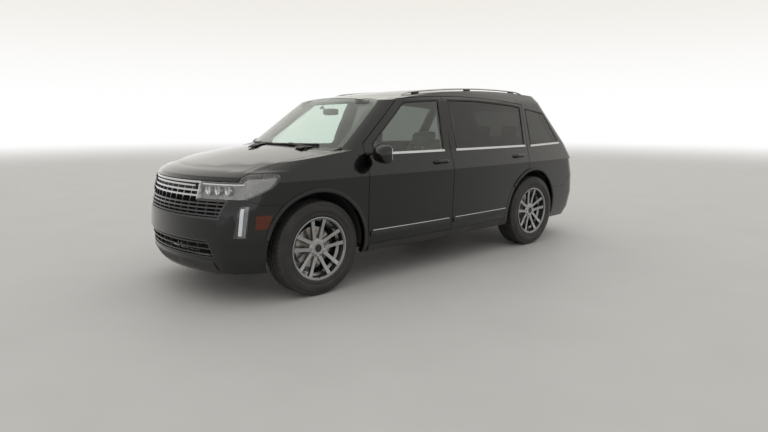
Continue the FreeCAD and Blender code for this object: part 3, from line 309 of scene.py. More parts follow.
def metal(name, colour, stain_colour, roughness, scale, bump_depth, dusty=0.0, **plain):
    """A metal with stains, an uneven sheen and some dust low down."""
    made, tree, surface = material(name, **plain)
    skin = place(tree, skin_tree, Scale=scale, Roughness=roughness, Bump=bump_depth)
    grime = place(tree, dust, Height=0.8, Amount=dusty)["Mask"]
    base = tint(tree, skin["Stain"], colour, stain_colour)
    fill(tree, surface.inputs["Base Color"], tint(tree, grime, base, (0.13, 0.12, 0.105)))
    fill(tree, surface.inputs["Metallic"], between(tree, grime, 1.0, 0.1))
    fill(tree, surface.inputs["Roughness"], skin["Roughness"])
    fill(tree, surface.inputs["Normal"], skin["Normal"])
    print("material", made.name)
    return made


bright_trim = metal("bright_trim", (0.62, 0.63, 0.64), (0.56, 0.57, 0.58), 0.16, 14.0, 0.02, 0.15)
iron = metal("cast_iron", (0.17, 0.16, 0.155), (0.10, 0.055, 0.035), 0.48, 26.0, 0.35, 0.4)
disc_steel = metal("ground_disc", (0.46, 0.45, 0.44), (0.30, 0.26, 0.22), 0.30, 20.0, 0.05, 0.2)
chassis_steel = metal("chassis_steel", (0.07, 0.07, 0.072), (0.08, 0.055, 0.04), 0.5, 16.0, 0.25, 0.5)
engine_alloy = metal("engine_alloy", (0.42, 0.42, 0.42), (0.30, 0.29, 0.28), 0.45, 22.0, 0.4, 0.2)
exhaust_steel = metal("exhaust_steel", (0.40, 0.38, 0.35), (0.26, 0.20, 0.15), 0.38, 12.0, 0.15, 0.3)
radiator_alloy = metal("radiator_alloy", (0.20, 0.20, 0.205), (0.12, 0.12, 0.12), 0.42, 40.0, 0.3, 0.2)
mirror_glass = metal("mirror_glass", (0.80, 0.82, 0.84), (0.78, 0.80, 0.82), 0.01, 6.0, 0.0)
reflector = metal("lamp_reflector", (0.86, 0.86, 0.87), (0.80, 0.80, 0.82), 0.09, 10.0, 0.0)
lamp_grey = metal("lamp_housing_grey", (0.24, 0.24, 0.245), (0.19, 0.19, 0.195), 0.30, 10.0, 0.02)

# %% [markdown]
# The wheels are cast alloy, painted grey, with the faces that look outwards turned bright on a lathe. The normal in
# the piece's own space tells the faces from the pockets, so one material finishes the whole casting.
# %% Material: wheel alloy
alloy, tree, surface = material("wheel_alloy", Coat_Weight=0.6, Coat_Roughness=0.05)
place_on = put(tree, "TexCoord")
across = put(tree, "SeparateXYZ", place_on.outputs["Normal"]).outputs["X"]
face_mask = put(tree, "MapRange", math_of(tree, "ABSOLUTE", across), 0.80, 0.93, 0.0, 1.0).outputs[0]
skin = place(tree, skin_tree, Scale=18.0, Roughness=0.26, Bump=0.03)
grime = place(tree, dust, Height=0.85, Amount=0.35)["Mask"]
cast_colour = tint(tree, face_mask, (0.17, 0.172, 0.175), (0.40, 0.405, 0.41))
fill(tree, surface.inputs["Base Color"], tint(tree, grime, cast_colour, (0.15, 0.14, 0.125)))
fill(tree, surface.inputs["Metallic"], between(tree, grime, 0.95, 0.3))
fill(tree, surface.inputs["Roughness"], skin["Roughness"])
fill(tree, surface.inputs["Normal"], skin["Normal"])
print("material", alloy.name)

# %% [markdown]
# The grille is one moulding in the frame. On the car its upper bars, level with the lamps, are bright, and the field
# below them is gloss black. A mask of height divides them.
# %% Material: two-tone grille
grille_finish, tree, surface = material("two_tone_grille", Coat_Weight=0.4, Coat_Roughness=0.05)
height_up = put(tree, "SeparateXYZ", put(tree, "TexCoord").outputs["Object"]).outputs["Z"]
upper = put(tree, "MapRange", height_up, 0.8445, 0.8465, 0.0, 1.0).outputs[0]
skin = place(tree, skin_tree, Scale=14.0, Roughness=0.22, Bump=0.02)
fill(tree, surface.inputs["Base Color"], tint(tree, upper, (0.050, 0.050, 0.051), (0.52, 0.53, 0.54)))
fill(tree, surface.inputs["Metallic"], between(tree, upper, 0.6, 1.0))
fill(tree, surface.inputs["Roughness"], skin["Roughness"])
print("material", grille_finish.name)

# %% [markdown]
# Each slot of the record names a finish. The table gives every slot its material, and the loop hands it to the CAD
# nodes, which keep their shape.
# %% Hand the finishes to the nodes
FINISH = {
    "paint": paint, "black_plastic": black_plastic, "clear_glass": clear_glass, "privacy_glass": privacy_glass,
    "lamp_lens": lens_clear, "red_lens": lens_red, "amber_lens": lens_amber, "alloy": alloy, "tyre": rubber,
    "iron": iron, "chassis_steel": chassis_steel, "floor_paint": floor_paint, "engine_alloy": engine_alloy,
    "radiator_alloy": radiator_alloy, "exhaust_steel": exhaust_steel, "tank_plastic": tank_plastic,
    "seat_leather": leather, "dash_plastic": dash_plastic, "wheel_leather": wheel_leather,
}
OWN_FINISH = {"grille": grille_finish}
for kind in ("front_left", "front_right", "rear_left", "rear_right"):
    OWN_FINISH["brake_" + kind] = disc_steel
slot_of = {part["node"]: part["material_slot"] for part in frame["record"]["subparts"]}
for name, obj in NODES.items():
    finish = OWN_FINISH.get(name) or FINISH[slot_of[name]]
    obj.data.materials.clear()
    obj.data.materials.append(finish)
print("finished nodes", len(NODES))

# %% [markdown]
# Pressed steel bends smoothly across the bands of the CAD surface. A small geometry-nodes modifier welds the faces of
# a node and shades the shallow edges smooth, and a weighted normal keeps the flats flat. The outlines themselves stay
# as they are.
# %% Modifier: pressed panels
pressed_panel = bpy.data.node_groups.new("pressed_panel", "GeometryNodeTree")
pressed_panel.is_modifier = True
pressed_panel.interface.new_socket("Geometry", in_out="INPUT", socket_type="NodeSocketGeometry")
crease_input = pressed_panel.interface.new_socket("Crease Angle", in_out="INPUT", socket_type="NodeSocketFloat")
crease_input.default_value = math.radians(27.0)
pressed_panel.interface.new_socket("Geometry", in_out="OUTPUT", socket_type="NodeSocketGeometry")


def geometry_step(kind, **settings):
    """A geometry node with plain values on its sockets."""
    made = pressed_panel.nodes.new(kind)
    for key, value in settings.items():
        if key in made.inputs:
            made.inputs[key].default_value = value
        else:
            setattr(made, key, value)
    return made


source = geometry_step("NodeGroupInput")
weld = geometry_step("GeometryNodeMergeByDistance", Distance=0.00015)
plain = geometry_step("GeometryNodeRemoveAttribute")
plain.inputs["Name"].default_value = "custom_normal"
smooth_faces = geometry_step("GeometryNodeSetShadeSmooth", domain="FACE")
smooth_faces.inputs["Shade Smooth"].default_value = True
bend = geometry_step("GeometryNodeInputMeshEdgeAngle")
sharper = geometry_step("FunctionNodeCompare", operation="GREATER_THAN")
crisp_edges = geometry_step("GeometryNodeSetShadeSmooth", domain="EDGE")
crisp_edges.inputs["Shade Smooth"].default_value = False
sink = geometry_step("NodeGroupOutput")
for a, b in ((source.outputs[0], weld.inputs[0]), (weld.outputs[0], plain.inputs[0]),
             (plain.outputs[0], smooth_faces.inputs[0]), (smooth_faces.outputs[0], crisp_edges.inputs[0]),
             (bend.outputs[0], sharper.inputs[0]), (source.outputs[1], sharper.inputs[1]),
             (sharper.outputs[0], crisp_edges.inputs["Selection"]), (crisp_edges.outputs[0], sink.inputs[0])):
    pressed_panel.links.new(a, b)
for name, obj in NODES.items():
    pressing = obj.modifiers.new("pressed_panel", "NODES")
    pressing.node_group = pressed_panel
    if slot_of[name] == "paint":
        pressing[crease_input.identifier] = math.radians(20.0)
    even = obj.modifiers.new("even_normals", "WEIGHTED_NORMAL")
    even.keep_sharp = True
    even.mode = "CORNER_ANGLE"
print("smoothed nodes", len(NODES))

# %% [markdown]
# The hood and the roof are shallow crowns, and a large mirror like that shows every triangle. Each crown is an arc
# turned about a far axis, so its true normal is known at any point. A second geometry-nodes modifier writes that
# normal on the faces that lie on the crown, and the reflections run straight through.
# %% Modifier: crowned tops
crowned_top = bpy.data.node_groups.new("crowned_top", "GeometryNodeTree")
crowned_top.is_modifier = True
crowned_top.interface.new_socket("Geometry", in_out="INPUT", socket_type="NodeSocketGeometry")
CROWN_SOCKETS = [crowned_top.interface.new_socket(label, in_out="INPUT", socket_type="NodeSocketFloat")
                 for label in ("Highest Y", "Radius Along", "Radius Across")]
crowned_top.interface.new_socket("Geometry", in_out="OUTPUT", socket_type="NodeSocketGeometry")
top_in, top_out = crowned_top.nodes.new("NodeGroupInput").outputs, crowned_top.nodes.new("NodeGroupOutput").inputs
apart = put(crowned_top, "SeparateXYZ", crowned_top.nodes.new("GeometryNodeInputPosition").outputs[0]).outputs
slope_x = math_of(crowned_top, "DIVIDE", apart["X"], top_in["Radius Across"])
from_highest = math_of(crowned_top, "SUBTRACT", apart["Y"], top_in["Highest Y"])
slope_y = math_of(crowned_top, "DIVIDE", from_highest, top_in["Radius Along"])
slope = put(crowned_top, "CombineXYZ", slope_x, slope_y, 1.0).outputs[0]
true_way = put(crowned_top, "VectorMath", slope, operation="NORMALIZE").outputs[0]
shown = crowned_top.nodes.new("GeometryNodeInputNormal").outputs
near = put(crowned_top, "VectorMath", shown["True Normal"], true_way, operation="DOT_PRODUCT").outputs["Value"]
choose = crowned_top.nodes.new("GeometryNodeSwitch")
choose.input_type = "VECTOR"
fill(crowned_top, choose.inputs["Switch"], math_of(crowned_top, "GREATER_THAN", near, 0.9985))
fill(crowned_top, choose.inputs["False"], shown["Normal"])
fill(crowned_top, choose.inputs["True"], true_way)
write = crowned_top.nodes.new("GeometryNodeSetMeshNormal")
write.mode, write.domain = "FREE", "CORNER"
fill(crowned_top, write.inputs["Mesh"], top_in["Geometry"])
fill(crowned_top, write.inputs["Custom Normal"], choose.outputs[0])
crowned_top.links.new(write.outputs[0], top_out[0])
# Node, y of the crown's highest point, radius along the vehicle and radius across it
for name, *crown in (("hood", -0.165, 10.5, 8.5), ("roof", 0.900, 11.0, 5.4)):
    lasting = NODES[name].modifiers.new("crowned_top", "NODES")
    lasting.node_group = crowned_top
    for socket, value in zip(CROWN_SOCKETS, crown):
        lasting[socket.identifier] = value
print("crowned tops", len(CROWN_SOCKETS))

# %% [markdown]
# Trim follows the body, so its points are found on the body. Rays against the CAD panels give the skin at any place
# seen from the side, front, rear or top, and a moulding is then a strip of points lifted off the skin.
# %% Find the skin
PANELS = ["fenders", "hood", "front_bumper", "side_frames", "roof", "tailgate", "rear_bumper", "windscreen",
          "tailgate_glass", "headlamps", "tail_lamps", "quarter_glass", "corner_lamps", "side_markers", "cowl",
          "door_front_left", "door_front_right", "door_rear_left", "door_rear_right",
          "glass_front_left", "glass_front_right", "glass_rear_left", "glass_rear_right"]


def panel_rays(names):
    """A ray tree of some CAD nodes."""
    points, faces = [], []
    for name in names:
        mesh, base = NODES[name].data, len(points)
        points += [v.co.copy() for v in mesh.vertices]
        faces += [[base + i for i in p.vertices] for p in mesh.polygons]
    return BVHTree.FromPolygons(points, faces)


body_rays = panel_rays(PANELS)
LOOKS = {"left": (Vector((3, 0, 0)), Vector((-1, 0, 0))), "right": (Vector((-3, 0, 0)), Vector((1, 0, 0))),
         "front": (Vector((0, -4, 0)), Vector((0, 1, 0))), "rear": (Vector((0, 4, 0)), Vector((0, -1, 0))),
         "top": (Vector((0, 0, 3)), Vector((0, 0, -1)))}


def skin_at(look, u, v):
    """The skin and its outward normal: at (y, z) from left or right, (x, z) from the ends, (x, y) from above."""
    start, way = LOOKS[look]
    start = start.copy()
    if look in ("left", "right"):
        start.y, start.z = u, v
    elif look in ("front", "rear"):
        start.x, start.z = u, v
    else:
        start.x, start.y = u, v
    hit, normal, _, _ = body_rays.ray_cast(start, way)
    if normal.dot(way) > 0:
        normal = -normal
    return hit, normal


print("skin at the front door", [round(c, 3) for c in skin_at("left", -0.5, 0.9)[0]])

# %% [markdown]
# A ray can slip into a shut line between two panels, so points for the side trim don't come from rays. The body side
# is also known as a formula: a few heights with their half widths, bent along the car round a far circle.
# %% The body side as a formula
# Body sides as (height, half width), and the radius and middle of the circle they are bent round
FLANK_ROWS = [(0.250, 0.905), (0.360, 0.945), (0.540, 0.966), (0.760, 0.970), (0.970, 0.985), (1.150, 0.921),
              (1.500, 0.787), (1.640, 0.726), (1.740, 0.640), (1.840, 0.500)]
FLANK_RADIUS, FLANK_MIDDLE = 30.0, -0.1025


def flank(y, z, out=0.0):
    """A point on the left body side at y and z, moved outwards along the skin's normal."""
    def x_at(y, z):
        for (z0, w0), (z1, w1) in zip(FLANK_ROWS, FLANK_ROWS[1:]):
            if z <= z1:
                half = w0 + (w1 - w0) * (z - z0) / (z1 - z0)
                break
        centre = 0.985 - FLANK_RADIUS
        return centre + math.sqrt((half - centre) ** 2 - (y - FLANK_MIDDLE) ** 2)
    x, d = x_at(y, z), 0.012
    slope_y = (x_at(y + d, z) - x_at(y - d, z)) / (2 * d)
    slope_z = (x_at(y, z + d) - x_at(y, z - d)) / (2 * d)
    normal = Vector((1.0, -slope_y, -slope_z)).normalized()
    return Vector((x, y, z)) + normal * out


print("flank at the front door", [round(c, 3) for c in flank(-0.5, 0.9)])

# %% [markdown]
# Pieces are made from parts, and a part is a plain list of points and one of faces. One function turns a part into an
# object: it turns the faces outwards, marks the edges that stay sharp, gives the finish, says which body carries
# the piece and hides the nodes it stands for.
# %% From a part to a piece


def solid_piece(name, part, body, finish, slot_name, smooth=35.0, bevel=0.0, replaces=()):
    """An object from a part, which is (points, faces), that rides on a body."""
    points, faces = part
    mesh = bpy.data.meshes.new(name)
    mesh.from_pydata([tuple(p) for p in points], [], faces)
    bm = bmesh.new()
    bm.from_mesh(mesh)
    bmesh.ops.recalc_face_normals(bm, faces=bm.faces)
    for edge in bm.edges:
        edge.smooth = not edge.is_boundary and edge.calc_face_angle(0.0) < math.radians(smooth)
    for face in bm.faces:
        face.smooth = True
    bm.to_mesh(mesh)
    bm.free()
    obj = bpy.data.objects.new(name, mesh)
    bpy.context.scene.collection.objects.link(obj)
    obj.data.materials.append(finish)
    if bevel:
        edge_round = obj.modifiers.new("rounded_edges", "BEVEL")
        edge_round.width, edge_round.segments, edge_round.limit_method = bevel, 2, "ANGLE"
        edge_round.angle_limit = math.radians(30.0)
        edge_round.harden_normals = True
    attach(obj, body)
    if replaces:
        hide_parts(*replaces)
    return obj


# %% [markdown]
# Three builders cover most trim, and all lay faces over a grid of points: a profile turned about the wheel's axle,
# sections carried along a path, and two sheets joined at their rims. Blocks, mirror images and sums of parts complete
# the set.
# %% Builders for parts


def round_angles(count):
    """Even angles round a full turn."""
    return [2 * math.pi * k / count for k in range(count)]


def grid_faces(rows, columns, around=False, closed=False):
    """Faces of a grid whose rows may close round, and whose columns may too."""
    faces = []
    for i in range(rows if closed else rows - 1):
        for j in range(columns if around else columns - 1):
            a, b = i * columns + j, i * columns + (j + 1) % columns
            c, d = ((i + 1) % rows) * columns + (j + 1) % columns, ((i + 1) % rows) * columns + j
            faces.append([a, b, c, d])
    return faces


def lathe(profile, centre, steps, side=1):
    """Points and faces of a closed profile of (across, radius) turned about a wheel's axle."""
    points = [Vector((side * across, radius * math.sin(a), radius * math.cos(a))) + centre
              for a in round_angles(steps) for across, radius in profile]
    return points, grid_faces(steps, len(profile), True, True)


def carried(sections):
    """Points and faces of closed sections carried along a path, capped at both ends."""
    count = len(sections[0])
    points = [p for section in sections for p in section]
    faces = grid_faces(len(sections), count, True)
    faces += [list(range(count))[::-1], [len(points) - count + i for i in range(count)]]
    return points, faces


def closed_sheet(front, back, rows, columns):
    """Two grids of points, rows by columns each, joined along their rim."""
    count = rows * columns
    near = grid_faces(rows, columns)
    faces = near + [[k + count for k in face][::-1] for face in near]
    rim = list(range(columns - 1)) + [columns * i + columns - 1 for i in range(rows - 1)]
    rim += [count - 1 - j for j in range(columns - 1)] + [(rows - 1 - i) * columns for i in range(rows - 1)]
    for a, b in zip(rim, rim[1:] + rim[:1]):
        faces.append([b, a, a + count, b + count])
    return front + back, faces


def mirrored(part):
    """The right side's part for one on the left."""
    points, faces = part
    return [Vector((-p.x, p.y, p.z)) for p in points], faces


def join_parts(parts):
    """One list of points and faces from several."""
    points, faces = [], []
    for some_points, some_faces in parts:
        base = len(points)
        points += some_points
        faces += [[base + i for i in face] for face in some_faces]
    return points, faces


def box_part(low, high):
    """Points and faces of a block."""
    points = [Vector((x, y, z)) for z in (low[2], high[2]) for y in (low[1], high[1]) for x in (low[0], high[0])]
    return points, [[0, 2, 3, 1], [4, 5, 7, 6], [0, 1, 5, 4], [2, 6, 7, 3], [1, 3, 7, 5], [0, 4, 6, 2]]


print("faces of a block", len(box_part((0, 0, 0), (1, 1, 1))[1]))

# %% [markdown]
# Seals and mouldings lie on the body. A strip takes its path from points on the skin and its section from one small
# table of shares, and most strips come in pairs, with a mirror image on the right.
# %% Strips and pairs
# Section of a moulding: share of the width across, share of the height
STRIP_SHAPE = ((-0.5, 0.0), (-0.46, 0.75), (-0.25, 1.0), (0.25, 1.0), (0.46, 0.75), (0.5, 0.0))


def moulding(path, width, proud, place_at=flank, sink=0.003):
    """A rounded strip along (u, v) points on the skin: width across, proud at its middle."""
    sections = []
    for i, (u, v) in enumerate(path):
        (u0, v0), (u1, v1) = path[max(i - 1, 0)], path[min(i + 1, len(path) - 1)]
        length = math.hypot(u1 - u0, v1 - v0)
        side_u, side_v = -(v1 - v0) / length, (u1 - u0) / length
        levels = [(across, proud * rise) for across, rise in STRIP_SHAPE] + [(0.5, -sink), (-0.5, -sink)]
        sections.append([place_at(u + side_u * across * width, v + side_v * across * width, level)
                         for across, level in levels])
    return carried(sections)


def on_both_sides(name, part, left_body, right_body, finish, slot_name, **more):
    """A left piece and its mirror image."""
    solid_piece(name + "_left", part, left_body, finish, slot_name, **more)
    solid_piece(name + "_right", mirrored(part), right_body, finish, slot_name, **more)


print("points in a strip's section", len(STRIP_SHAPE) + 2)

# %% [markdown]
# The tyre carries its look in its tread and sidewall. The profile is turned about the axle in fine steps, and the
# radius drops by the tread's depth in the grooves that run round and in the slots that cross them, pitch by pitch.
# %% Tyres with tread
AXLES = {"front": -1.595, "rear": 1.390}
SIDES = (("left", 1), ("right", -1))
WHEEL_X, AXLE_Z = 0.822, 0.399
TREAD_PITCHES, STEPS_PER_PITCH = 64, 5
SLOT_DEPTH, LUG_DEPTH, SLOT_LEAN = 6.0, 2.5, 0.55
SHOULDER_X, GROOVE_RADIUS, LUG_RADIUS = 107, 392, 360
# Across the tread in mm with its radius: lands at full radius, and grooves that run round
TREAD = [(-107, 383), (-104, 389), (-99, 393.5), (-90, 397), (-74, 398), (-72, 391), (-66, 391), (-64, 398),
         (-42, 398.6), (-40, 391), (-34, 391), (-32, 398.7), (-9, 398.8), (-7, 391)]
TREAD += [(-x, r) for x, r in reversed(TREAD)]
# Rest of the ring: shoulder, sidewall with its ribs, bead and the closed inside
WALL = [(109, 376), (111.5, 368), (113, 367), (115, 358), (117.5, 356), (120, 344), (122, 332), (122.4, 326),
        (121.5, 316), (120, 306), (118, 304), (117, 296), (118.5, 294), (118.5, 285), (116, 279), (113, 272),
        (108, 267), (101, 262), (100.5, 254.3), (88, 254.3), (92, 275), (104, 326), (96, 372)]


def tyre_part(side, axle_y):
    """Points and faces of a tyre: the crown's slots are dropped out of the lands, step by step."""
    ring = TREAD + WALL + [(-x, r) for x, r in reversed(WALL)]
    steps = TREAD_PITCHES * STEPS_PER_PITCH
    points = []
    centre = Vector((side * WHEEL_X, axle_y, AXLE_Z))
    for k, turn in enumerate(round_angles(steps)):
        for j, (across, radius) in enumerate(ring):
            lean = 2 * math.pi * SLOT_LEAN * abs(across) / SHOULDER_X / TREAD_PITCHES
            a = turn + (lean if j < len(TREAD) or radius > LUG_RADIUS else 0.0)
            shift = 2 if 9 < abs(across) < 41 else 0
            on_land = j < len(TREAD) and radius > GROOVE_RADIUS and abs(across) > 8
            on_lug = radius > LUG_RADIUS and SHOULDER_X < abs(across) < 119
            drop = 0.0
            if on_land and (k + shift) % STEPS_PER_PITCH == 0:
                drop = SLOT_DEPTH
            elif on_lug and k % STEPS_PER_PITCH == 0:
                drop = LUG_DEPTH
            r = (radius - drop) / 1000
            points.append(Vector((side * across / 1000, r * math.sin(a), r * math.cos(a))) + centre)
    return points, grid_faces(steps, len(ring), True, True)


BODY_OF = {node: body for body, nodes in frame["record"]["behaviour"]["bodies"].items() for node in nodes}
for row, axle_y in AXLES.items():
    for name, side in SIDES:
        node = f"tyre_{row}_{name}"
        tread = tyre_part(side, axle_y)
        solid_piece(f"tread_{row}_{name}", tread, BODY_OF[node], rubber, "tyre", 50.0, replaces=(node,))
print("tyre faces", len(tread[1]))

# %% [markdown]
# A wheel is held by five nuts round a centre cap, and a rubber valve stands in the barrel. They are small, but a
# wheel without them looks like a toy's, and from two steps away the eye goes straight to them.
# %% Nuts, caps and valves
NUT_COUNT, NUT_CIRCLE, NUT_RADIUS = 5, 0.0635, 0.0105


def nut_part(centre, radius, length, side):
    """A six-sided nut with a domed end, its axis along the axle."""
    rows = [(0.0, radius * 1.12), (length * 0.72, radius * 1.12), (length * 0.8, radius), (length, radius * 0.55)]
    points = []
    for x, r in rows:
        points += [centre + Vector((side * x, r * math.sin(a), r * math.cos(a))) for a in round_angles(6)]
    faces = grid_faces(len(rows), 6, True)
    return points, faces + [list(range(6))[::-1], [len(points) - 6 + i for i in range(6)]]


for row, axle_y in AXLES.items():
    for name, side in SIDES:
        hub = Vector((side * WHEEL_X, axle_y, AXLE_Z))
        body = BODY_OF[f"rim_{row}_{name}"]
        nuts = []
        for i in range(NUT_COUNT):
            a = (i + 0.5) * 2 * math.pi / NUT_COUNT
            offset = Vector((side * 0.062, -NUT_CIRCLE * math.sin(a), NUT_CIRCLE * math.cos(a)))
            nuts.append(nut_part(hub + offset, NUT_RADIUS, 0.026, side))
        solid_piece(f"nuts_{row}_{name}", join_parts(nuts), body, bright_trim, "iron", 30.0)
        cap = [(0.060, 0.004), (0.060, 0.0325), (0.073, 0.0325), (0.0775, 0.029), (0.0785, 0.024), (0.0775, 0.020),
               (0.0790, 0.004)]
        solid_piece(f"cap_{row}_{name}", lathe(cap, hub, 40, side), body, gloss_black, "black_plastic", 40.0)
        stem = [(0.0, 0.0005), (0.0, 0.0045), (0.018, 0.0045), (0.019, 0.0032), (0.032, 0.0032), (0.032, 0.0005)]
        valve = lathe(stem, hub + Vector((side * 0.092, 0.0, -0.236)), 12, side)
        solid_piece(f"valve_{row}_{name}", valve, body, rubber, "tyre", 40.0)
print("wheel details", len(nuts))

# %% [markdown]
# A lamp is a clear cover over a grey housing, and the frame has it as one solid. The outer faces of that solid are
# copied: thickened a little they are the cover. Pushed inwards, with a solidify modifier for its wall, a second copy
# is the housing.
# %% Lamp units


def lamp_unit(node, core, depth, cover, housing_finish, slot_name, cover_wall=0.003):
    """A cover and a housing from the outer faces of a lamp's solids. The faces that look away from core are outer."""
    bm = bmesh.new()
    bm.from_mesh(NODES[node].data)
    bmesh.ops.remove_doubles(bm, verts=bm.verts, dist=0.0002)
    bmesh.ops.recalc_face_normals(bm, faces=bm.faces)

    def is_outer(face):
        middle = face.calc_center_median()
        side = 1 if middle.x > 0 else -1
        outward = Vector((middle.x - side * core[0], middle.y - core[1], 0.25 * (middle.z - core[2]))).normalized()
        return face.normal.dot(outward) > 0.5
    bmesh.ops.delete(bm, geom=[f for f in bm.faces if not is_outer(f)], context="FACES")
    points = [v.co.copy() for v in bm.verts]
    normals = []
    for v in bm.verts:
        total = Vector()
        for face in v.link_faces:
            total += face.normal * face.calc_area()
        normals.append(total.normalized())
    bm.verts.index_update()
    faces = [[v.index for v in f.verts] for f in bm.faces]
    rim = [[v.index for v in e.verts] for e in bm.edges if e.is_boundary]
    bm.free()
    count = len(points)
    for name, near, far, finish in (("cover", 0.0, cover_wall, cover),
                                    ("housing", cover_wall + 0.001, depth, housing_finish)):
        shell = [p - n * near for p, n in zip(points, normals)] + [p - n * far for p, n in zip(points, normals)]
        skins = [[i + count for i in f] for f in faces]
        if name == "cover":
            skins += [f[::-1] for f in faces]
        skins += [[a, b, b + count, a + count] for a, b in rim]
        made = solid_piece(f"{node}_{name}", (shell, skins), "root", finish, slot_name, 40.0)
        if name == "cover":
            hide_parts(node)
        else:
            tray = made.modifiers.new("tray_wall", "SOLIDIFY")
            tray.thickness = 0.0012
    print(node, "outer faces", len(faces))


lamp_unit("headlamps", (0.35, -1.75, 0.9), 0.036, lens_clear, lamp_grey, "lamp_lens")
lamp_unit("corner_lamps", (0.50, -1.75, 0.68), 0.030, lens_clear, lamp_grey, "lamp_lens")
lamp_unit("side_markers", (0.30, -1.90, 0.66), 0.014, lens_amber, lamp_grey, "amber_lens")
lamp_unit("tail_lamps", (0.35, 1.60, 0.95), 0.018, lens_red, reflector, "red_lens")

# %% [markdown]
# Inside a headlamp are three projector modules, each a glass ball in a turned bezel, under a light guide that runs
# along the top edge. Light guides glow faintly even by day, so a little emission is right. On the upright strip at
# the bumper's corner, the same glow is a painted reflection.
# %% Light guides' finishes and helpers
guide_glow_and_painted_reflection, tree, surface = material("light_guide", Base_Color=(0.85, 0.86, 0.87), Roughness=0.25)
milky = put(tree, "TexNoise", Vector=put(tree, "TexCoord").outputs["Object"], Scale=60.0).outputs[0]
fill(tree, surface.inputs["Emission Color"], tint(tree, milky, (0.55, 0.57, 0.60), (0.75, 0.77, 0.80)))
# This glow is a lamp's glow on the headlamp strip and a painted reflection on the corner strip.
surface.inputs["Emission Strength"].default_value = 0.20
red_light, tree, surface = material("red_light_guide", Base_Color=(0.22, 0.010, 0.008), Roughness=0.3)
milky = put(tree, "TexNoise", Vector=put(tree, "TexCoord").outputs["Object"], Scale=60.0).outputs[0]
fill(tree, surface.inputs["Emission Color"], tint(tree, milky, (0.25, 0.006, 0.004), (0.40, 0.012, 0.008)))
surface.inputs["Emission Strength"].default_value = 0.12


def behind(look, depth):
    """A place_at for mouldings that lie this far under the skin."""
    def at(u, v, out=0.0):
        hit, normal = skin_at(look, u, v)
        return hit + normal * (out - depth)
    return at


def turned_part(profile, base, way, steps=28, hollow=False):
    """A closed part: (along, radius) turned about an axis, with flat ends or, when hollow, joined as a ring."""
    across = way.orthogonal().normalized()
    other = way.cross(across)
    points = [base + way * along + (across * math.cos(a) + other * math.sin(a)) * radius
              for a in round_angles(steps) for along, radius in profile]
    count = len(profile)
    faces = grid_faces(steps, count, hollow, True)
    if not hollow:
        faces += [[k * count for k in range(steps)], [k * count + count - 1 for k in range(steps)][::-1]]
    return points, faces


print("light guide glow", surface.inputs["Emission Strength"].default_value)

# %% [markdown]
# The projectors lie just behind the lamp's skin, which rays from ahead find. The guides are strips at their own depth
# under the covers, and those of the tail lamps follow the corner round an upright axis.
# %% Projectors and light guides
# Profiles as (along the beam, radius)
BEZEL = [(0.0, 0.034), (0.017, 0.036), (0.019, 0.034), (0.018, 0.031), (0.002, 0.024)]
BALL = [(0.0, 0.024), (0.008, 0.023), (0.013, 0.018), (0.016, 0.010), (0.017, 0.001)]
bezels, balls = [], []
for x in (0.545, 0.628, 0.711):
    hit, _ = skin_at("front", x, 0.912)
    forward = Vector((0.12, -1.0, 0.0)).normalized()
    base = hit - forward * 0.030
    bezels.append(turned_part(BEZEL, base, forward, hollow=True))
    balls.append(turned_part(BALL, base, forward))
for name, parts, finish in (("projector_bezels", bezels, bright_trim), ("projector_glass", balls, lens_clear)):
    on_both_sides(name, join_parts(parts), "root", "root", finish, "lamp_lens", smooth=50.0)
along_lamp = [(0.485 + 0.033 * i, 0.962) for i in range(11)]
up_corner = [(0.822 + 0.0007 * i, 0.575 + 0.021 * i) for i in range(11)]
# The upright corner strip glows where the bumper's corner shows a bright reflection: its glow is a painted
# reflection.
for name, path, wide, depth in (("headlamp_guide", along_lamp, 0.010, 0.016),
                                ("corner_guide", up_corner, 0.018, 0.014)):
    guide = moulding(path, wide, 0.004, behind("front", depth))
    on_both_sides(name, guide, "root", "root", guide_glow_and_painted_reflection, "lamp_lens")
TAIL_AXIS, TAIL_TURN = Vector((0.62, 2.10, 0.0)), 0.27


def round_tail(u, v, out=0.0):
    """A place_at for the left rear corner, seen from an axis inside it: u runs round it, v is the height."""
    outward = Vector((math.cos(u / TAIL_TURN), math.sin(u / TAIL_TURN), 0.0))
    hit, _, _, _ = body_rays.ray_cast(TAIL_AXIS + outward + Vector((0, 0, v)), -outward)
    return hit + outward * (out - 0.012)


for i, z in enumerate((0.915, 0.955, 0.995)):
    run = [(0.130 + 0.0165 * k, z) for k in range(9)]
    guide = moulding(run, 0.012, 0.004, round_tail)
    on_both_sides(f"tail_guide_{i}", guide, "root", "root", red_light, "red_lens")
print("projectors", len(bezels))

# %% [markdown]
# Rubber outlines the side windows, and a bright moulding runs along the belt. Each is a strip along a path on the
# door or the body, and rides on the panel that carries it, so that it swings with its door.
# %% Window seals and belt mouldings
FLANK_BODIES = {"door_front": ("door_front_left", "door_front_right"),
                "door_rear": ("door_rear_left", "door_rear_right"), "root": ("root", "root")}


WINDOW_TOP = 1.640


def top_line(y, above=0.0):
    """Height of the upper edge of the side windows."""
    return WINDOW_TOP + above - (y - 0.3) ** 2 / 19.0


def run_between(a, b, count):
    """Points from a to b, both included."""
    return [(a[0] + (b[0] - a[0]) * i / count, a[1] + (b[1] - a[1]) * i / count) for i in range(count + 1)]


def along_top(y0, y1, above, count):
    """Points along the windows' upper edge."""
    return [(y0 + (y1 - y0) * i / count, top_line(y0 + (y1 - y0) * i / count, above)) for i in range(count + 1)]


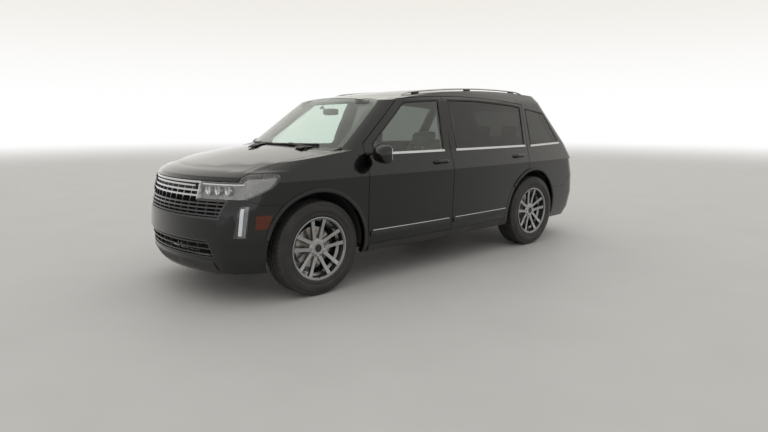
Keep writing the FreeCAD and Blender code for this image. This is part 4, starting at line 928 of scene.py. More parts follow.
# Windows: name, foot front, top front y, top rear y, foot rear, body, lift of the top
WINDOWS = [
    ("front", [(-0.990, 1.159), (-0.980, 1.240)], -0.490, -0.014, (-0.117, 1.159), "door_front", 0.0),
    ("rear", [(0.073, 1.159)], 0.126, 1.365, (1.245, 1.159), "door_rear", 0.0),
    ("quarter", [(1.380, 1.155)], 1.465, 1.835, (2.010, 1.170), "root", -0.006),
]
for name, front_foot, top_front, top_rear, rear_foot, carrier, lift in WINDOWS:
    left, right = FLANK_BODIES[carrier]
    start = front_foot[-1]
    path = [p for a, b in zip(front_foot, front_foot[1:]) for p in run_between(a, b, 2)[:-1]]
    path += run_between(start, (top_front, top_line(top_front, lift)), 10)[:-1]
    path += along_top(top_front, top_rear, lift, 14)[:-1]
    path += run_between((top_rear, top_line(top_rear, lift)), rear_foot, 10)
    on_both_sides(f"seal_{name}", moulding(path, 0.016, 0.0025), left, right, seal_rubber, "black_plastic")
    y0, z0 = front_foot[0]
    y1, z1 = rear_foot
    belt_run = run_between((y0 - 0.012, z0 - 0.008), (y1 + 0.012, z1 - 0.008), 12)
    on_both_sides(f"belt_{name}", moulding(belt_run, 0.022, 0.006), left, right, bright_trim, "black_plastic")
print("windows outlined", len(WINDOWS))

# %% [markdown]
# Black lips edge the wheel arches, and mouldings along the sills and the doors' feet take the stones. They are strips
# too, the lips along an arc about each axle.
# %% Arch lips, sills and door mouldings


def arch_path(axle_y, start, end, radius):
    """Points round a wheel opening, from one angle to another, measured from straight up towards the tail."""
    angles = [math.radians(start + (end - start) * i / 40) for i in range(41)]
    return [(axle_y + radius * math.sin(a), AXLE_Z + radius * math.cos(a)) for a in angles]


LIP_RADIUS = 0.487
for row, start, end in (("front", -74, 97), ("rear", -50, 100)):
    lip = moulding(arch_path(AXLES[row], start, end, LIP_RADIUS), 0.034, 0.011, sink=0.006)
    on_both_sides(f"arch_lip_{row}", lip, "root", "root", black_plastic, "black_plastic")
sill_run = run_between((-1.075, 0.328), (0.915, 0.328), 24)
on_both_sides("sill_moulding", moulding(sill_run, 0.058, 0.010), "root", "root", black_plastic, "black_plastic")
for name, y0, y1 in (("front", -1.06, -0.045), ("rear", 0.005, 0.885)):
    left, right = FLANK_BODIES["door_" + name]
    guard = moulding(run_between((y0, 0.455), (y1, 0.455), 14), 0.045, 0.010)
    on_both_sides(f"door_moulding_{name}", guard, left, right, black_plastic, "black_plastic")
    strip = moulding(run_between((y0 + 0.02, 0.484), (y1 - 0.02, 0.484), 14), 0.010, 0.008)
    on_both_sides(f"door_bright_{name}", strip, left, right, bright_trim, "black_plastic")
print("mouldings placed")

# %% [markdown]
# The post between the doors is gloss black, so that the side glass reads as one band. Two thin plates cover the door
# frames there, between each window and the shut line.
# %% Black posts
POST_FOOT, POST_TOP = 1.158, 1.626


def post_plate(foot_a, foot_b, lean, proud=0.0022):
    """A plate on a door frame from the belt to the top, between two lines that lean alike."""
    sections = []
    for i in range(13):
        t = i / 12
        z = POST_FOOT + (POST_TOP - POST_FOOT) * t
        y0, y1 = foot_a + lean * t, foot_b + lean * t
        section = [flank(y0 + (y1 - y0) * k / 3, z, proud) for k in range(4)]
        section += [flank(y1, z, -0.002), flank(y0, z, -0.002)]
        sections.append(section)
    return carried(sections)


for name, plate in (("front", post_plate(-0.108, -0.024, 0.094)), ("rear", post_plate(-0.014, 0.063, 0.070))):
    left, right = FLANK_BODIES["door_" + name]
    on_both_sides(f"post_{name}", plate, left, right, gloss_black, "black_plastic")
print("posts placed")

# %% [markdown]
# A pull handle is a bar that springs from the door at both ends with room for fingers behind it. Sections along its
# length rise from the skin and fall back to it. Behind it, a thin gloss-black oval on the skin is painted shade,
# standing for the finger recess that the panel doesn't have.
# %% Door handles


def handle_part(y0, y1, z):
    """A door handle between y0 and y1 at height z."""
    sections = []
    for i in range(17):
        t = i / 16
        y = y0 + (y1 - y0) * t
        lift = 0.030 * min(1.0, math.sin(math.pi * t) * 2.2) ** 0.8
        tall = 0.0135 - 0.003 * abs(2 * t - 1) ** 3
        sections.append([flank(y, z + tall * math.sin(a), lift + 0.003 + 0.0065 * math.cos(a))
                         for a in round_angles(10)])
    return carried(sections)


HANDLE_Z = 1.045
for name, y0 in (("front", -0.290), ("rear", 0.985)):
    left, right = FLANK_BODIES["door_" + name]
    on_both_sides(f"handle_{name}", handle_part(y0, y0 + 0.205, HANDLE_Z), left, right, paint, "paint", smooth=60.0)
    # Painted shade: a gloss-black oval just off the skin stands for the shade in a finger recess.
    recess_shade = []
    for i in range(9):
        y = y0 + 0.055 + 0.095 * i / 8
        tall = 0.021 * math.sin(math.pi * (i + 0.6) / 9.2) ** 0.5
        recess_shade.append([flank(y, HANDLE_Z + tall * math.sin(a), 0.0012 + 0.0006 * math.cos(a))
                    for a in round_angles(12)])
    on_both_sides(f"handle_cup_{name}", carried(recess_shade), left, right, gloss_black, "black_plastic", smooth=60.0)
print("handles placed")

# %% [markdown]
# Roof rails run above the roof's edges on three feet each. The bar's sections keep their distance from the roof's
# own skin, which rays from above find.
# %% Roof rails and antenna


def rail_part(x, y0, y1, rise, half_wide, half_tall):
    """A bar above the roof that bends down to it at both ends."""
    sections = []
    for i in range(41):
        t = i / 40
        y = y0 + (y1 - y0) * t
        hit, normal = skin_at("top", x, y)
        end = min(1.0, min(t, 1 - t) * 14)
        lift = rise * math.sin(end * math.pi / 2)
        tall = half_tall * (1.0 if end >= 1 else 0.55 + 0.45 * end)
        sections.append([hit + Vector((0, 0, lift)) + Vector((half_wide * math.cos(a), 0, tall * math.sin(a)))
                         for a in round_angles(10)])
    return carried(sections)


RAIL_X = 0.555
feet = []
for y in (-0.16, 0.62, 1.40):
    hit, normal = skin_at("top", RAIL_X, y)
    feet.append(box_part((RAIL_X - 0.012, y - 0.045, hit.z - 0.004), (RAIL_X + 0.012, y + 0.045, hit.z + 0.016)))
rail = rail_part(RAIL_X, -0.36, 1.60, 0.0175, 0.014, 0.008)
on_both_sides("roof_rail", rail, "root", "root", bright_trim, "black_plastic", smooth=60.0)
on_both_sides("rail_feet", join_parts(feet), "root", "root", black_plastic, "black_plastic", bevel=0.004)
fin = []
for i in range(13):
    t = i / 12
    y = 1.64 + 0.15 * t
    hit, _ = skin_at("top", 0.0, y)
    tall = 0.034 * math.sin(math.pi * min(1.0, 0.18 + t * 0.82) * 0.62) * (1.0 if t < 0.92 else 0.8)
    wide = 0.020 * (1 - t * 0.2)
    section = []
    for k in range(10):
        a = math.pi * (k / 9 - 0.5)
        up = max(0.0, math.cos(a))
        section.append(hit + Vector((wide * math.sin(a) * (1 - 0.72 * up), 0.02 * up, tall * up - 0.002)))
    fin.append(section)
solid_piece("antenna_fin", carried(fin), "root", gloss_black, "black_plastic", 60.0)
print("rails and fin placed")

# %% [markdown]
# Wipers rest at the foot of the windscreen, one over the other, and a short one lies under the tailgate glass. Each
# is an arm, a blade and a lip of rubber, along a line just off the glass.
# %% Wipers


def wiper_part(look, pivot, tip, foot, lift):
    """The arm from its pivot, and the blade through the arm's tip, as (u, v) points seen from one side."""
    place_at = behind(look, -lift)
    arm = moulding(run_between(pivot, tip, 8), 0.014, 0.006, place_at, 0.004)
    blade = moulding(run_between(foot[0], foot[1], 14), 0.010, 0.005, behind(look, -lift + 0.006), 0.010)
    hub_at, normal = skin_at(look, *pivot)
    hub = turned_part([(-0.004, 0.013), (lift + 0.004, 0.013), (lift + 0.008, 0.009), (lift + 0.009, 0.001)],
                      hub_at, normal, 16)
    return join_parts([arm, blade, hub])


for name, pivot, tip, foot in (("driver", (0.52, 1.196), (0.18, 1.222), ((0.53, 1.228), (-0.10, 1.216))),
                               ("passenger", (-0.10, 1.188), (-0.42, 1.218), ((-0.12, 1.218), (-0.68, 1.214)))):
    wiper = wiper_part("front", pivot, tip, foot, 0.013)
    solid_piece(f"wiper_{name}", wiper, "root", black_plastic, "black_plastic", 45.0)
wiper = wiper_part("rear", (0.0, 1.075), (0.17, 1.128), ((-0.02, 1.130), (0.36, 1.130)), 0.010)
solid_piece("wiper_rear", wiper, "tailgate", black_plastic, "black_plastic", 45.0)
print("wipers placed")

# %% [markdown]
# Black bands are printed round the edges of fixed glass to hide the glue. They lie just under the pane, as thin
# strips along each edge.
# %% Printed bands


def glass_band(name, look, corners, width, body, depth=0.0065):
    """A thin band inside a four-cornered outline, under the pane."""
    middle_u = sum(c[0] for c in corners) / 4
    middle_v = sum(c[1] for c in corners) / 4
    parts = []
    for a, b in zip(corners, corners[1:] + corners[:1]):
        length = math.hypot(b[0] - a[0], b[1] - a[1])
        side = (-(b[1] - a[1]) / length, (b[0] - a[0]) / length)
        if side[0] * (middle_u - a[0]) + side[1] * (middle_v - a[1]) < 0:
            side = (-side[0], -side[1])
        path = [(u + side[0] * width / 2, v + side[1] * width / 2) for u, v in run_between(a, b, 24)]
        parts.append(moulding(path, width, 0.0004, behind(look, depth), 0.0006))
    solid_piece(name, join_parts(parts), body, gloss_black, "black_plastic", 40.0)


SCREEN = [(-0.790, 1.176), (0.790, 1.176), (0.634, 1.664), (-0.634, 1.664)]
REAR_SCREEN = [(-0.634, 1.111), (0.634, 1.111), (0.541, 1.594), (-0.541, 1.594)]
glass_band("windscreen_band", "front", SCREEN, 0.045, "root")
glass_band("tailgate_band", "rear", REAR_SCREEN, 0.045, "tailgate")
print("bands placed")

# %% [markdown]
# The door mirrors have a glass that looks back, a lamp strip on the shell and a black foot. The glass is a rounded
# plate set into the shell's rear face, tilted a little towards the driver.
# %% Mirror glasses


def mirror_glass_part(x, y, z, half_wide, half_tall, corner):
    """A rounded plate that faces the tail."""
    ring = []
    for cx, cz, start in ((1, 1, 0), (-1, 1, 90), (-1, -1, 180), (1, -1, 270)):
        for k in range(6):
            a = math.radians(start + 18 * k)
            ring.append((cx * (half_wide - corner) + corner * math.cos(a),
                         cz * (half_tall - corner) + corner * math.sin(a)))
    points = [Vector((x + u, y + depth + 0.02 * u, z + v)) for depth in (-0.003, 0.0015) for u, v in ring]
    count = len(ring)
    return points, grid_faces(2, count, True) + [list(range(count))[::-1], [count + i for i in range(count)]]


left, right = FLANK_BODIES["door_front"]
plate = mirror_glass_part(1.060, -0.984, 1.160, 0.082, 0.067, 0.030)
on_both_sides("mirror_plate", plate, left, right, mirror_glass, "clear_glass", smooth=30.0)
front = [Vector((1.000 + 0.019 * k, -1.1003 + 0.00009 * (k - 4) ** 2, z)) for z in (1.128, 1.136) for k in range(8)]
signal = closed_sheet(front, [p + Vector((0, 0.004, 0)) for p in front], 2, 8)
on_both_sides("mirror_signal", signal, left, right, lens_amber, "amber_lens", smooth=30.0)
print("mirrors placed")

# %% [markdown]
# The mirror inside hangs from a foot that is glued to the windscreen. A cage of sections along its width, rounded by
# a subdivision surface, makes the shell, and a stalk joins it to the foot.
# %% Inside mirror
glued_at, normal = skin_at("front", 0.0, 1.572)
head_at = glued_at + Vector((0.0, 0.115, -0.052))
FOOT = [(0.0, 0.001), (0.0, 0.022), (0.010, 0.021), (0.018, 0.012), (0.019, 0.001)]
foot = turned_part(FOOT, glued_at - normal * 0.007, -normal, 20)
reach = head_at - (glued_at - normal * 0.02)
stalk = turned_part([(0.0, 0.0065), (reach.length, 0.0065)], glued_at - normal * 0.02, reach.normalized(), 12)
solid_piece("inside_mirror_stalk", join_parts([foot, stalk]), "root", dash_plastic, "dash_plastic", 50.0)
# The shell across the car: x, half height, half depth, and its outline as shares of those
ROWS = ((-0.128, 0.020, 0.008), (-0.118, 0.032, 0.014), (0.0, 0.036, 0.020), (0.118, 0.032, 0.014),
        (0.128, 0.020, 0.008))
OUTLINE = ((0.4, -1), (0.4, 1), (-0.4, 1), (-1.1, 0.5), (-1.1, -0.5), (-0.4, -1))
sections = [[head_at + Vector((x, deep * u, tall * v)) for u, v in OUTLINE] for x, tall, deep in ROWS]
shell = solid_piece("inside_mirror", carried(sections), "root", dash_plastic, "dash_plastic", 60.0)
rounder = shell.modifiers.new("soft_cage", "SUBSURF")
rounder.levels = rounder.render_levels = 2
print("inside mirror at", [round(c, 3) for c in head_at])

# %% [markdown]
# The mirror housing is a soft pebble on the real door. A cage of few points with a subdivision surface gives it: the
# cage keeps the frame's outline, and the modifier rounds it.
# %% Mirror housings
# From root to tip: x, half height, half depth. The outline, as shares of those, is flat towards the tail
CAGE_ROWS = ((0.958, 0.050, 0.030), (0.985, 0.076, 0.044), (1.060, 0.086, 0.057), (1.135, 0.080, 0.052),
             (1.158, 0.056, 0.036))
CAGE_OUTLINE = ((0.0, -0.78), (0.0, 0.78), (-0.10, 1.0), (-1.10, 0.96), (-1.85, 0.55), (-2.0, -0.1), (-1.75, -0.72),
                (-0.9, -1.0), (-0.10, -1.0))
MIRROR_BACK_Y, MIRROR_Z = -0.987, 1.160
cage = carried([[Vector((x, MIRROR_BACK_Y + deep * u, MIRROR_Z + tall * v)) for u, v in CAGE_OUTLINE]
                for x, tall, deep in CAGE_ROWS])
# Foot on the door: centre, half width and half height of each section
FOOT_ROWS = ((0.905, -1.045, 1.150, 0.034, 0.016), (0.935, -1.045, 1.158, 0.024, 0.013),
             (0.975, -1.040, 1.165, 0.022, 0.016))
foot = carried([[Vector((x, y + wide * math.cos(a), z + tall * math.sin(a))) for a in round_angles(10)]
                for x, y, z, wide, tall in FOOT_ROWS])
for name, sign in SIDES:
    body = f"door_front_{name}"
    housing, arm = (cage, foot) if sign > 0 else (mirrored(cage), mirrored(foot))
    shell = solid_piece(f"mirror_housing_{name}", housing, body, paint, "paint", 60.0, replaces=(f"mirror_{name}",))
    rounder = shell.modifiers.new("soft_cage", "SUBSURF")
    rounder.levels = rounder.render_levels = 3
    solid_piece(f"mirror_foot_{name}", arm, body, black_plastic, "black_plastic", 60.0)
print("mirror housings placed")

# %% [markdown]
# Air goes through the grille, but the eye shouldn't: shutters close the view into the engine room. They are a row of
# slats on two side posts, bowed like the nose and set a hand's width behind it.
# %% Shutters behind the grilles
NOSE_RADIUS = 1.5


def nose_bow(x, y_middle):
    """y of a bow as wide as the nose's, at x."""
    return y_middle + NOSE_RADIUS - math.sqrt(NOSE_RADIUS ** 2 - x * x)


def shutter_part(half, low, high, y_middle, slats):
    """Bowed slats between two heights, on two side posts."""
    parts = []
    for i in range(slats):
        z = low + (high - low) * (i + 0.5) / slats
        tall = (high - low) / slats * 0.56
        slat = ((0.0, tall), (0.004, tall), (0.026, -tall), (0.020, -tall - 0.002))
        sections = []
        for k in range(13):
            x = -half + 2 * half * k / 12
            sections.append([Vector((x, nose_bow(x, y_middle) + v, z + w)) for v, w in slat])
        parts.append(carried(sections))
    for side in (-1, 1):
        x, y = side * half, nose_bow(half, y_middle)
        parts.append(box_part((x - 0.008, y - 0.004, low - 0.01), (x + 0.008, y + 0.03, high + 0.01)))
    return join_parts(parts)


# Half width, low and high edge, y in the middle, slats: upper grille, lower field, intake
SHUTTERS = ((0.425, 0.850, 0.955, -2.465, 4), (0.640, 0.700, 0.838, -2.465, 5), (0.575, 0.392, 0.530, -2.470, 5))
shutters = join_parts([shutter_part(*row) for row in SHUTTERS])
solid_piece("air_shutters", shutters, "root", black_plastic, "black_plastic", 30.0)
print("shutter faces", len(shutters[1]))

# %% [markdown]
# Padded seats are foam under leather: a seat cushion is crowned, its sides pull in between the corners, and sewn
# channels cross it. The pads start as fine closed blocks whose points are moved by those three rules. Only the seat
# cushions have channels, and the backs have no crown.
# %% Cushion maker
CHANNEL = 0.011


def cushion_mesh(name, half, corner, crown, pull, channels=(), cuts=(16, 14, 6)):
    """A crowned closed cushion about the origin, with sewn channels across it at shares of its half length."""
    bm = bmesh.new()
    count = [c + 1 for c in cuts]
    index = {}

    def vertex(i, j, k):
        if (i, j, k) not in index:
            u, v, w = (2 * i / cuts[0] - 1, 2 * j / cuts[1] - 1, 2 * k / cuts[2] - 1)
            p = Vector((u * half[0], v * half[1], w * half[2]))
            core = Vector([max(-h + corner, min(h - corner, c)) for c, h in zip(p, half)])
            off = p - core
            if off.length > 1e-9:
                p = core + off.normalized() * corner
            p.x -= (1 if u > 0 else -1) * pull * (1 - v * v) * abs(u) ** 3
            p.y -= (1 if v > 0 else -1) * pull * (1 - u * u) * abs(v) ** 3
            rise = crown * (1 - u ** 4) * (1 - v ** 4)
            for place_v in channels:
                rise -= CHANNEL * math.exp(-((v - place_v) * half[1] / CHANNEL) ** 2)
            p.z += rise * max(w, 0.0)
            index[(i, j, k)] = bm.verts.new(p)
        return index[(i, j, k)]
    for a, b, c in ((0, 1, 2), (1, 2, 0), (2, 0, 1)):
        for end in (0, cuts[c]):
            for i in range(cuts[a]):
                for j in range(cuts[b]):
                    corners = []
                    for di, dj in ((0, 0), (1, 0), (1, 1), (0, 1)):
                        key = [0, 0, 0]
                        key[a], key[b], key[c] = i + di, j + dj, end
                        corners.append(vertex(*key))
                    bm.faces.new(corners if end else corners[::-1])
    bmesh.ops.recalc_face_normals(bm, faces=bm.faces)
    for face in bm.faces:
        face.smooth = True
    mesh = bpy.data.meshes.new(name)
    bm.to_mesh(mesh)
    bm.free()
    return mesh


print("depth of a sewn channel", CHANNEL)

# %% [markdown]
# Leather over foam bulges a little. Cloth with inner pressure swells the cushions and backs of the front seats frame
# by frame, and a cap keeps every point near its place. A level of subdivision then smooths each pad.
# %% Foam pressure and pads


def swell(obj, frames=12, pressure=4.0, cap=0.022):
    """Cloth with inner pressure, stepped, capped and applied to the mesh."""
    start = [v.co.copy() for v in obj.data.vertices]
    cloth = obj.modifiers.new("foam_pressure", "CLOTH")
    cloth.settings.use_pressure = True
    cloth.settings.uniform_pressure_force = pressure
    cloth.settings.effector_weights.gravity = 0.0
    cloth.settings.quality = 4
    cloth.point_cache.frame_start, cloth.point_cache.frame_end = 1, frames
    scene = bpy.context.scene
    for step in range(1, frames + 1):
        scene.frame_set(step)
    seen = obj.evaluated_get(bpy.context.evaluated_depsgraph_get())
    moved = [v.co.copy() for v in seen.data.vertices]
    obj.modifiers.remove(cloth)
    for vertex, old, new in zip(obj.data.vertices, start, moved):
        shift = new - old
        if shift.length > cap:
            shift *= cap / shift.length
        vertex.co = old + shift
    scene.frame_set(1)


def place_pad(name, mesh, spot, lean, puff=False, replaces=("front_seats",)):
    """A padded piece from a cushion mesh, leaned about X and set at a spot."""
    obj = bpy.data.objects.new(name, mesh)
    bpy.context.scene.collection.objects.link(obj)
    if puff:
        swell(obj)
    mesh.transform(Matrix.Translation(spot) @ Matrix.Rotation(math.radians(lean), 4, "X"))
    mesh.materials.append(leather)
    even = obj.modifiers.new("smooth_leather", "SUBSURF")
    even.levels = even.render_levels = 1
    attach(obj, "root")
    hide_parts(*replaces)


print("cloth pressure", "used")

# %% [markdown]
# Each front seat has a cushion with two bolsters, a leaning back with its own, and a headrest on two posts. The rear
# rows have two places each, cut to the width of the cabin, with channels across their cushions too.
# %% Seats
CUSHION_LEAN, BACK_LEAN = 4.0, -14.0
POST, POST_WAY = [(0.0, 0.006), (0.10, 0.006)], Vector((0, 0.242, 0.970))
for name, side in SIDES:
    x = side * 0.385
    mesh = cushion_mesh("cushion", (0.165, 0.245, 0.055), 0.030, 0.012, 0.006, (-0.45, 0.0, 0.45))
    place_pad(f"seat_cushion_{name}", mesh, Vector((x, -0.305, 0.575)), CUSHION_LEAN, puff=True)
    mesh = cushion_mesh("back", (0.155, 0.050, 0.285), 0.030, 0.0, 0.005)
    place_pad(f"seat_back_{name}", mesh, Vector((x, -0.010, 0.870)), BACK_LEAN, puff=True)
    for edge, shift in (("inner", -0.205), ("outer", 0.205)):
        mesh = cushion_mesh("bolster", (0.040, 0.235, 0.062), 0.030, 0.008, 0.002, cuts=(6, 14, 6))
        spot = Vector((x + shift, -0.300, 0.590))
        place_pad(f"cushion_bolster_{edge}_{name}", mesh, spot, CUSHION_LEAN)
        mesh = cushion_mesh("bolster", (0.036, 0.060, 0.240), 0.030, 0.0, 0.002, cuts=(6, 6, 14))
        spot = Vector((x + shift * 0.96, -0.030, 0.860))
        place_pad(f"back_bolster_{edge}_{name}", mesh, spot, BACK_LEAN)
    mesh = cushion_mesh("headrest", (0.118, 0.040, 0.074), 0.034, 0.004, 0.004, cuts=(12, 6, 8))
    place_pad(f"headrest_{name}", mesh, Vector((x, 0.098, 1.230)), BACK_LEAN)
    posts = [turned_part(POST, Vector((x + shift, 0.062, 1.100)), POST_WAY, 10) for shift in (-0.055, 0.055)]
    solid_piece(f"headrest_posts_{name}", join_parts(posts), "root", bright_trim, "seat_leather", 50.0)
    # Two floor rails, the frame under the cushion and the switch panel on its side
    base = [box_part((x - 0.19, -0.54, 0.3425), (x - 0.16, -0.06, 0.375)),
            box_part((x + 0.16, -0.54, 0.3425), (x + 0.19, -0.06, 0.375)),
            box_part((x - 0.20, -0.50, 0.375), (x + 0.20, -0.10, 0.515)),
            box_part((x + 0.205, -0.46, 0.42), (x + 0.222, -0.12, 0.50))]
    solid_piece(f"seat_base_{name}", join_parts(base), "root", dash_plastic, "dash_plastic", 30.0, 0.008)
# Row, half width of a place, y, height of the cushion, height of the back and half its length
BENCHES = (("second", 0.300, 0.565, 0.645, 0.920, 0.245), ("third", 0.205, 1.510, 0.825, 1.040, 0.190))
for name, half_wide, y, z, back_z, tall in BENCHES:
    own = ("rear_seats",)
    for i in range(2):
        x = (i - 0.5) * 2.1 * half_wide
        mesh = cushion_mesh("bench", (half_wide, 0.245, 0.060), 0.032, 0.014, 0.005, (-0.4, 0.1, 0.55))
        place_pad(f"{name}_row_cushion_{i}", mesh, Vector((x, y, z)), 3.0, replaces=own)
        mesh = cushion_mesh("bench_back", (half_wide, 0.052, tall), 0.032, 0.0, 0.005)
        place_pad(f"{name}_row_back_{i}", mesh, Vector((x, y + 0.270, back_z)), BACK_LEAN, replaces=own)
        mesh = cushion_mesh("bench_rest", (0.112, 0.036, 0.066), 0.030, 0.004, 0.003, cuts=(12, 6, 8))
        spot = Vector((x, y + 0.350, back_z + tall + 0.060))
        place_pad(f"{name}_row_headrest_{i}", mesh, spot, BACK_LEAN, replaces=own)
bases = [box_part((-0.60, 0.34, 0.45), (0.60, 0.78, 0.59)), box_part((-0.40, 1.29, 0.603), (0.40, 1.73, 0.77))]
solid_piece("bench_bases", join_parts(bases), "root", dash_plastic, "dash_plastic", 30.0, 0.015)
print("rows of seats", 1 + len(BENCHES))

# %% [markdown]
# The dashboard is one long moulding whose section changes little across the car: a soft top that rises to a hood
# over the dials, a face with vents, and a knee panel. Sections from side to side carry that outline.
# %% Dashboard


def dash_section(x):
    """Outline of the dashboard in (y, z) at x, with the driver's hood raised on the left."""
    hood = math.exp(-((x - 0.385) / 0.20) ** 4)
    bow = 0.030 * (1 - (x / 0.76) ** 2)
    return [(-1.128, 0.800), (-1.128, 1.060), (-1.040, 1.074), (-0.930, 1.070 + 0.013 * hood),
            (-0.850 + bow, 1.062 + 0.020 * hood), (-0.822 + bow, 1.040 + 0.026 * hood), (-0.835 + bow, 1.020),
            (-0.870 + bow, 1.005), (-0.868 + bow, 0.930), (-0.826 + bow, 0.912), (-0.828 + bow, 0.872),
            (-0.880, 0.842), (-0.960, 0.802)]


sections = []
for i in range(39):
    x = -0.755 + 1.51 * i / 38
    sections.append([Vector((x, y, z)) for y, z in dash_section(x)])
dash = carried(sections)
solid_piece("dash_moulding", dash, "root", dash_plastic, "dash_plastic", 40.0, replaces=("dashboard",))
deck = box_part((-0.555, -1.325, 1.060), (0.555, -1.120, 1.078))
solid_piece("dash_deck", deck, "root", dash_plastic, "dash_plastic", 30.0, 0.006)
# The console along the car: y, half width, top. It stands on the tunnel's carpet
TUNNEL_TOP, EDGE = 0.4525, 0.02
CONSOLE = ((-0.885, 0.115, 0.860), (-0.800, 0.125, 0.760), (-0.700, 0.135, 0.700), (-0.560, 0.130, 0.680),
           (-0.420, 0.110, 0.690), (-0.300, 0.105, 0.730), (-0.060, 0.100, 0.735), (0.000, 0.095, 0.700))
sections = []
for y, wide, top in CONSOLE:
    outline = ((-wide, TUNNEL_TOP), (-wide, top - EDGE), (-wide + EDGE, top), (wide - EDGE, top),
               (wide, top - EDGE),
               (wide, TUNNEL_TOP))
    sections.append([Vector((x, y, z)) for x, z in outline])
solid_piece("centre_console", carried(sections), "root", dash_plastic, "dash_plastic", 40.0, 0.004)
screens = join_parts([box_part((-0.150, -0.862, 0.960), (0.150, -0.838, 1.062)),
                      box_part((0.275, -0.890, 0.965), (0.495, -0.868, 1.040))])
solid_piece("dash_screens", screens, "root", gloss_black, "dash_plastic", 30.0, 0.004)
vents = []
for x0 in (-0.700, -0.260, 0.170, 0.590):
    for k in range(5):
        z = 0.942 + 0.011 * k
        vents.append(box_part((x0, -0.858, z), (x0 + 0.090, -0.832, z + 0.004)))
solid_piece("air_vents", join_parts(vents), "root", bright_trim, "dash_plastic", 30.0, 0.001)
print("vent slats", len(vents))

# %% [markdown]
# The steering wheel is a leather rim on three spokes. The rim's section is thicker where thumbs rest, and the boss is
# a soft pad. Its axis leans as the column does.
# %% Steering wheel
WHEEL_TURN = Matrix.Translation(Vector((0.385, -0.640, 0.985))) @ Matrix.Rotation(math.radians(-65), 4, "X")
RIM_RADIUS = 0.182
points = []
for a in round_angles(64):
    thick = 0.0145 + 0.0022 * max(0.0, math.cos(2 * (a - 0.2))) ** 3
    for b in round_angles(12):
        r = RIM_RADIUS + thick * math.cos(b)
        points.append(WHEEL_TURN @ Vector((r * math.cos(a), r * math.sin(a), thick * math.sin(b))))
rim = (points, grid_faces(64, 12, True, True))
solid_piece("wheel_rim", rim, "root", wheel_leather, "wheel_leather", 60.0, replaces=("steering_wheel",))
spokes = []
for degrees, wide in ((2, 0.026), (178, 0.026), (270, 0.022)):
    a = math.radians(degrees)
    way, side = Vector((math.cos(a), math.sin(a), 0)), Vector((-math.sin(a), math.cos(a), 0))
    rows = []
    for r, w, z in ((0.040, wide * 1.3, -0.014), (0.100, wide, -0.006), (0.172, wide * 0.8, 0.0)):
        rows.append([WHEEL_TURN @ (way * r + side * (w * u) + Vector((0, 0, z + 0.007 * v)))
                     for u, v in ((-1, -1), (-1, 1), (1, 1), (1, -1))])
    spokes.append(carried(rows))
# Profiles as (along the column, radius)
BOSS = [(-0.020, 0.0005), (-0.020, 0.055), (0.000, 0.064), (0.014, 0.060), (0.021, 0.046), (0.024, 0.0005)]
COLUMN = [(-0.160, 0.026), (-0.060, 0.030), (-0.018, 0.034)]
axis = (WHEEL_TURN.to_3x3() @ Vector((0, 0, 1))).normalized()
centre = WHEEL_TURN.translation
middle = join_parts(spokes + [turned_part(BOSS, centre, axis, 32), turned_part(COLUMN, centre, axis, 24)])
solid_piece("wheel_centre", middle, "root", dash_plastic, "dash_plastic", 45.0, 0.0015)
print("steering wheel placed")

# %% [markdown]
# Every door has a trim card inside: a soft panel with an armrest that swells towards the seat and a pocket below. It
# follows the door's inner face, which lies one door's thickness inside the skin, and rides on the door.
# %% Door cards
DOOR_WALL = 0.108
ARMREST_Z, POCKET_Z, PULL_Z = 0.815, 0.500, 0.955


def clamp(value):
    """A value kept between 0 and 1."""
    return min(1.0, max(0.0, value))


def card_part(y0, y1, z0, z1):
    """A trim card over the inner face of a left door."""
    rows, columns = 22, 18
    front, back = [], []
    for i in range(rows + 1):
        for j in range(columns + 1):
            t = j / columns
            y, z = y0 + (y1 - y0) * t, z0 + (z1 - z0) * i / rows
            edge = min(i, rows - i, 2.0) / 2 * min(j, columns - j, 2.0) / 2
            rest = math.exp(-((z - ARMREST_Z) / 0.030) ** 2) * clamp((0.92 - t) * 5) * clamp((t - 0.25) * 4)
            pocket = math.exp(-((z - POCKET_Z) / 0.055) ** 4) * math.sin(math.pi * t)
            deep = 0.001 + edge * (0.006 + 0.042 * rest + 0.022 * pocket)
            inner_x = flank(y, z).x - DOOR_WALL
            front.append(Vector((inner_x - deep, y, z)))
            back.append(Vector((inner_x + 0.0005, y, z)))
    return closed_sheet(front, back, rows + 1, columns + 1)


for name, y0, y1, pull_y in (("front", -1.040, -0.068, -0.82), ("rear", 0.030, 0.840, 0.20)):
    left, right = FLANK_BODIES["door_" + name]
    card = card_part(y0, y1, 0.415, 1.128)
    on_both_sides(f"door_card_{name}", card, left, right, dash_plastic, "dash_plastic", smooth=50.0)
    pull = []
    for i in range(9):
        p = flank(pull_y + 0.11 * i / 8, PULL_Z)
        lift = 0.006 + 0.022 * math.sin(math.pi * i / 8)
        pull.append([Vector((p.x - DOOR_WALL - lift + 0.004 * math.cos(a), p.y, p.z + 0.007 * math.sin(a)))
                     for a in round_angles(8)])
    on_both_sides(f"inner_pull_{name}", carried(pull), left, right, bright_trim, "dash_plastic", smooth=60.0)
print("door cards placed")

# %% [markdown]
# Headlining and carpet line the cabin above and below. The lining hangs a finger under the roof's inner face, found
# by rays from above, and the carpet runs from sill to sill over the tunnel.
# %% Headlining and carpets
ROOF_WALL, LINING_HALF = 0.045, 0.555
lining = []
for i in range(37):
    y = -0.50 + 2.30 * i / 36
    for j in range(19):
        x = LINING_HALF * (j / 9 - 1)
        hit, _ = skin_at("top", x * 0.93, y)
        lining.append(Vector((x, y, hit.z - ROOF_WALL - 0.004 - 0.012 * (x / LINING_HALF) ** 6)))
lining = closed_sheet(lining, [p - Vector((0, 0, 0.006)) for p in lining], 37, 19)
solid_piece("headlining", lining, "root", headlining, "dash_plastic", 50.0)
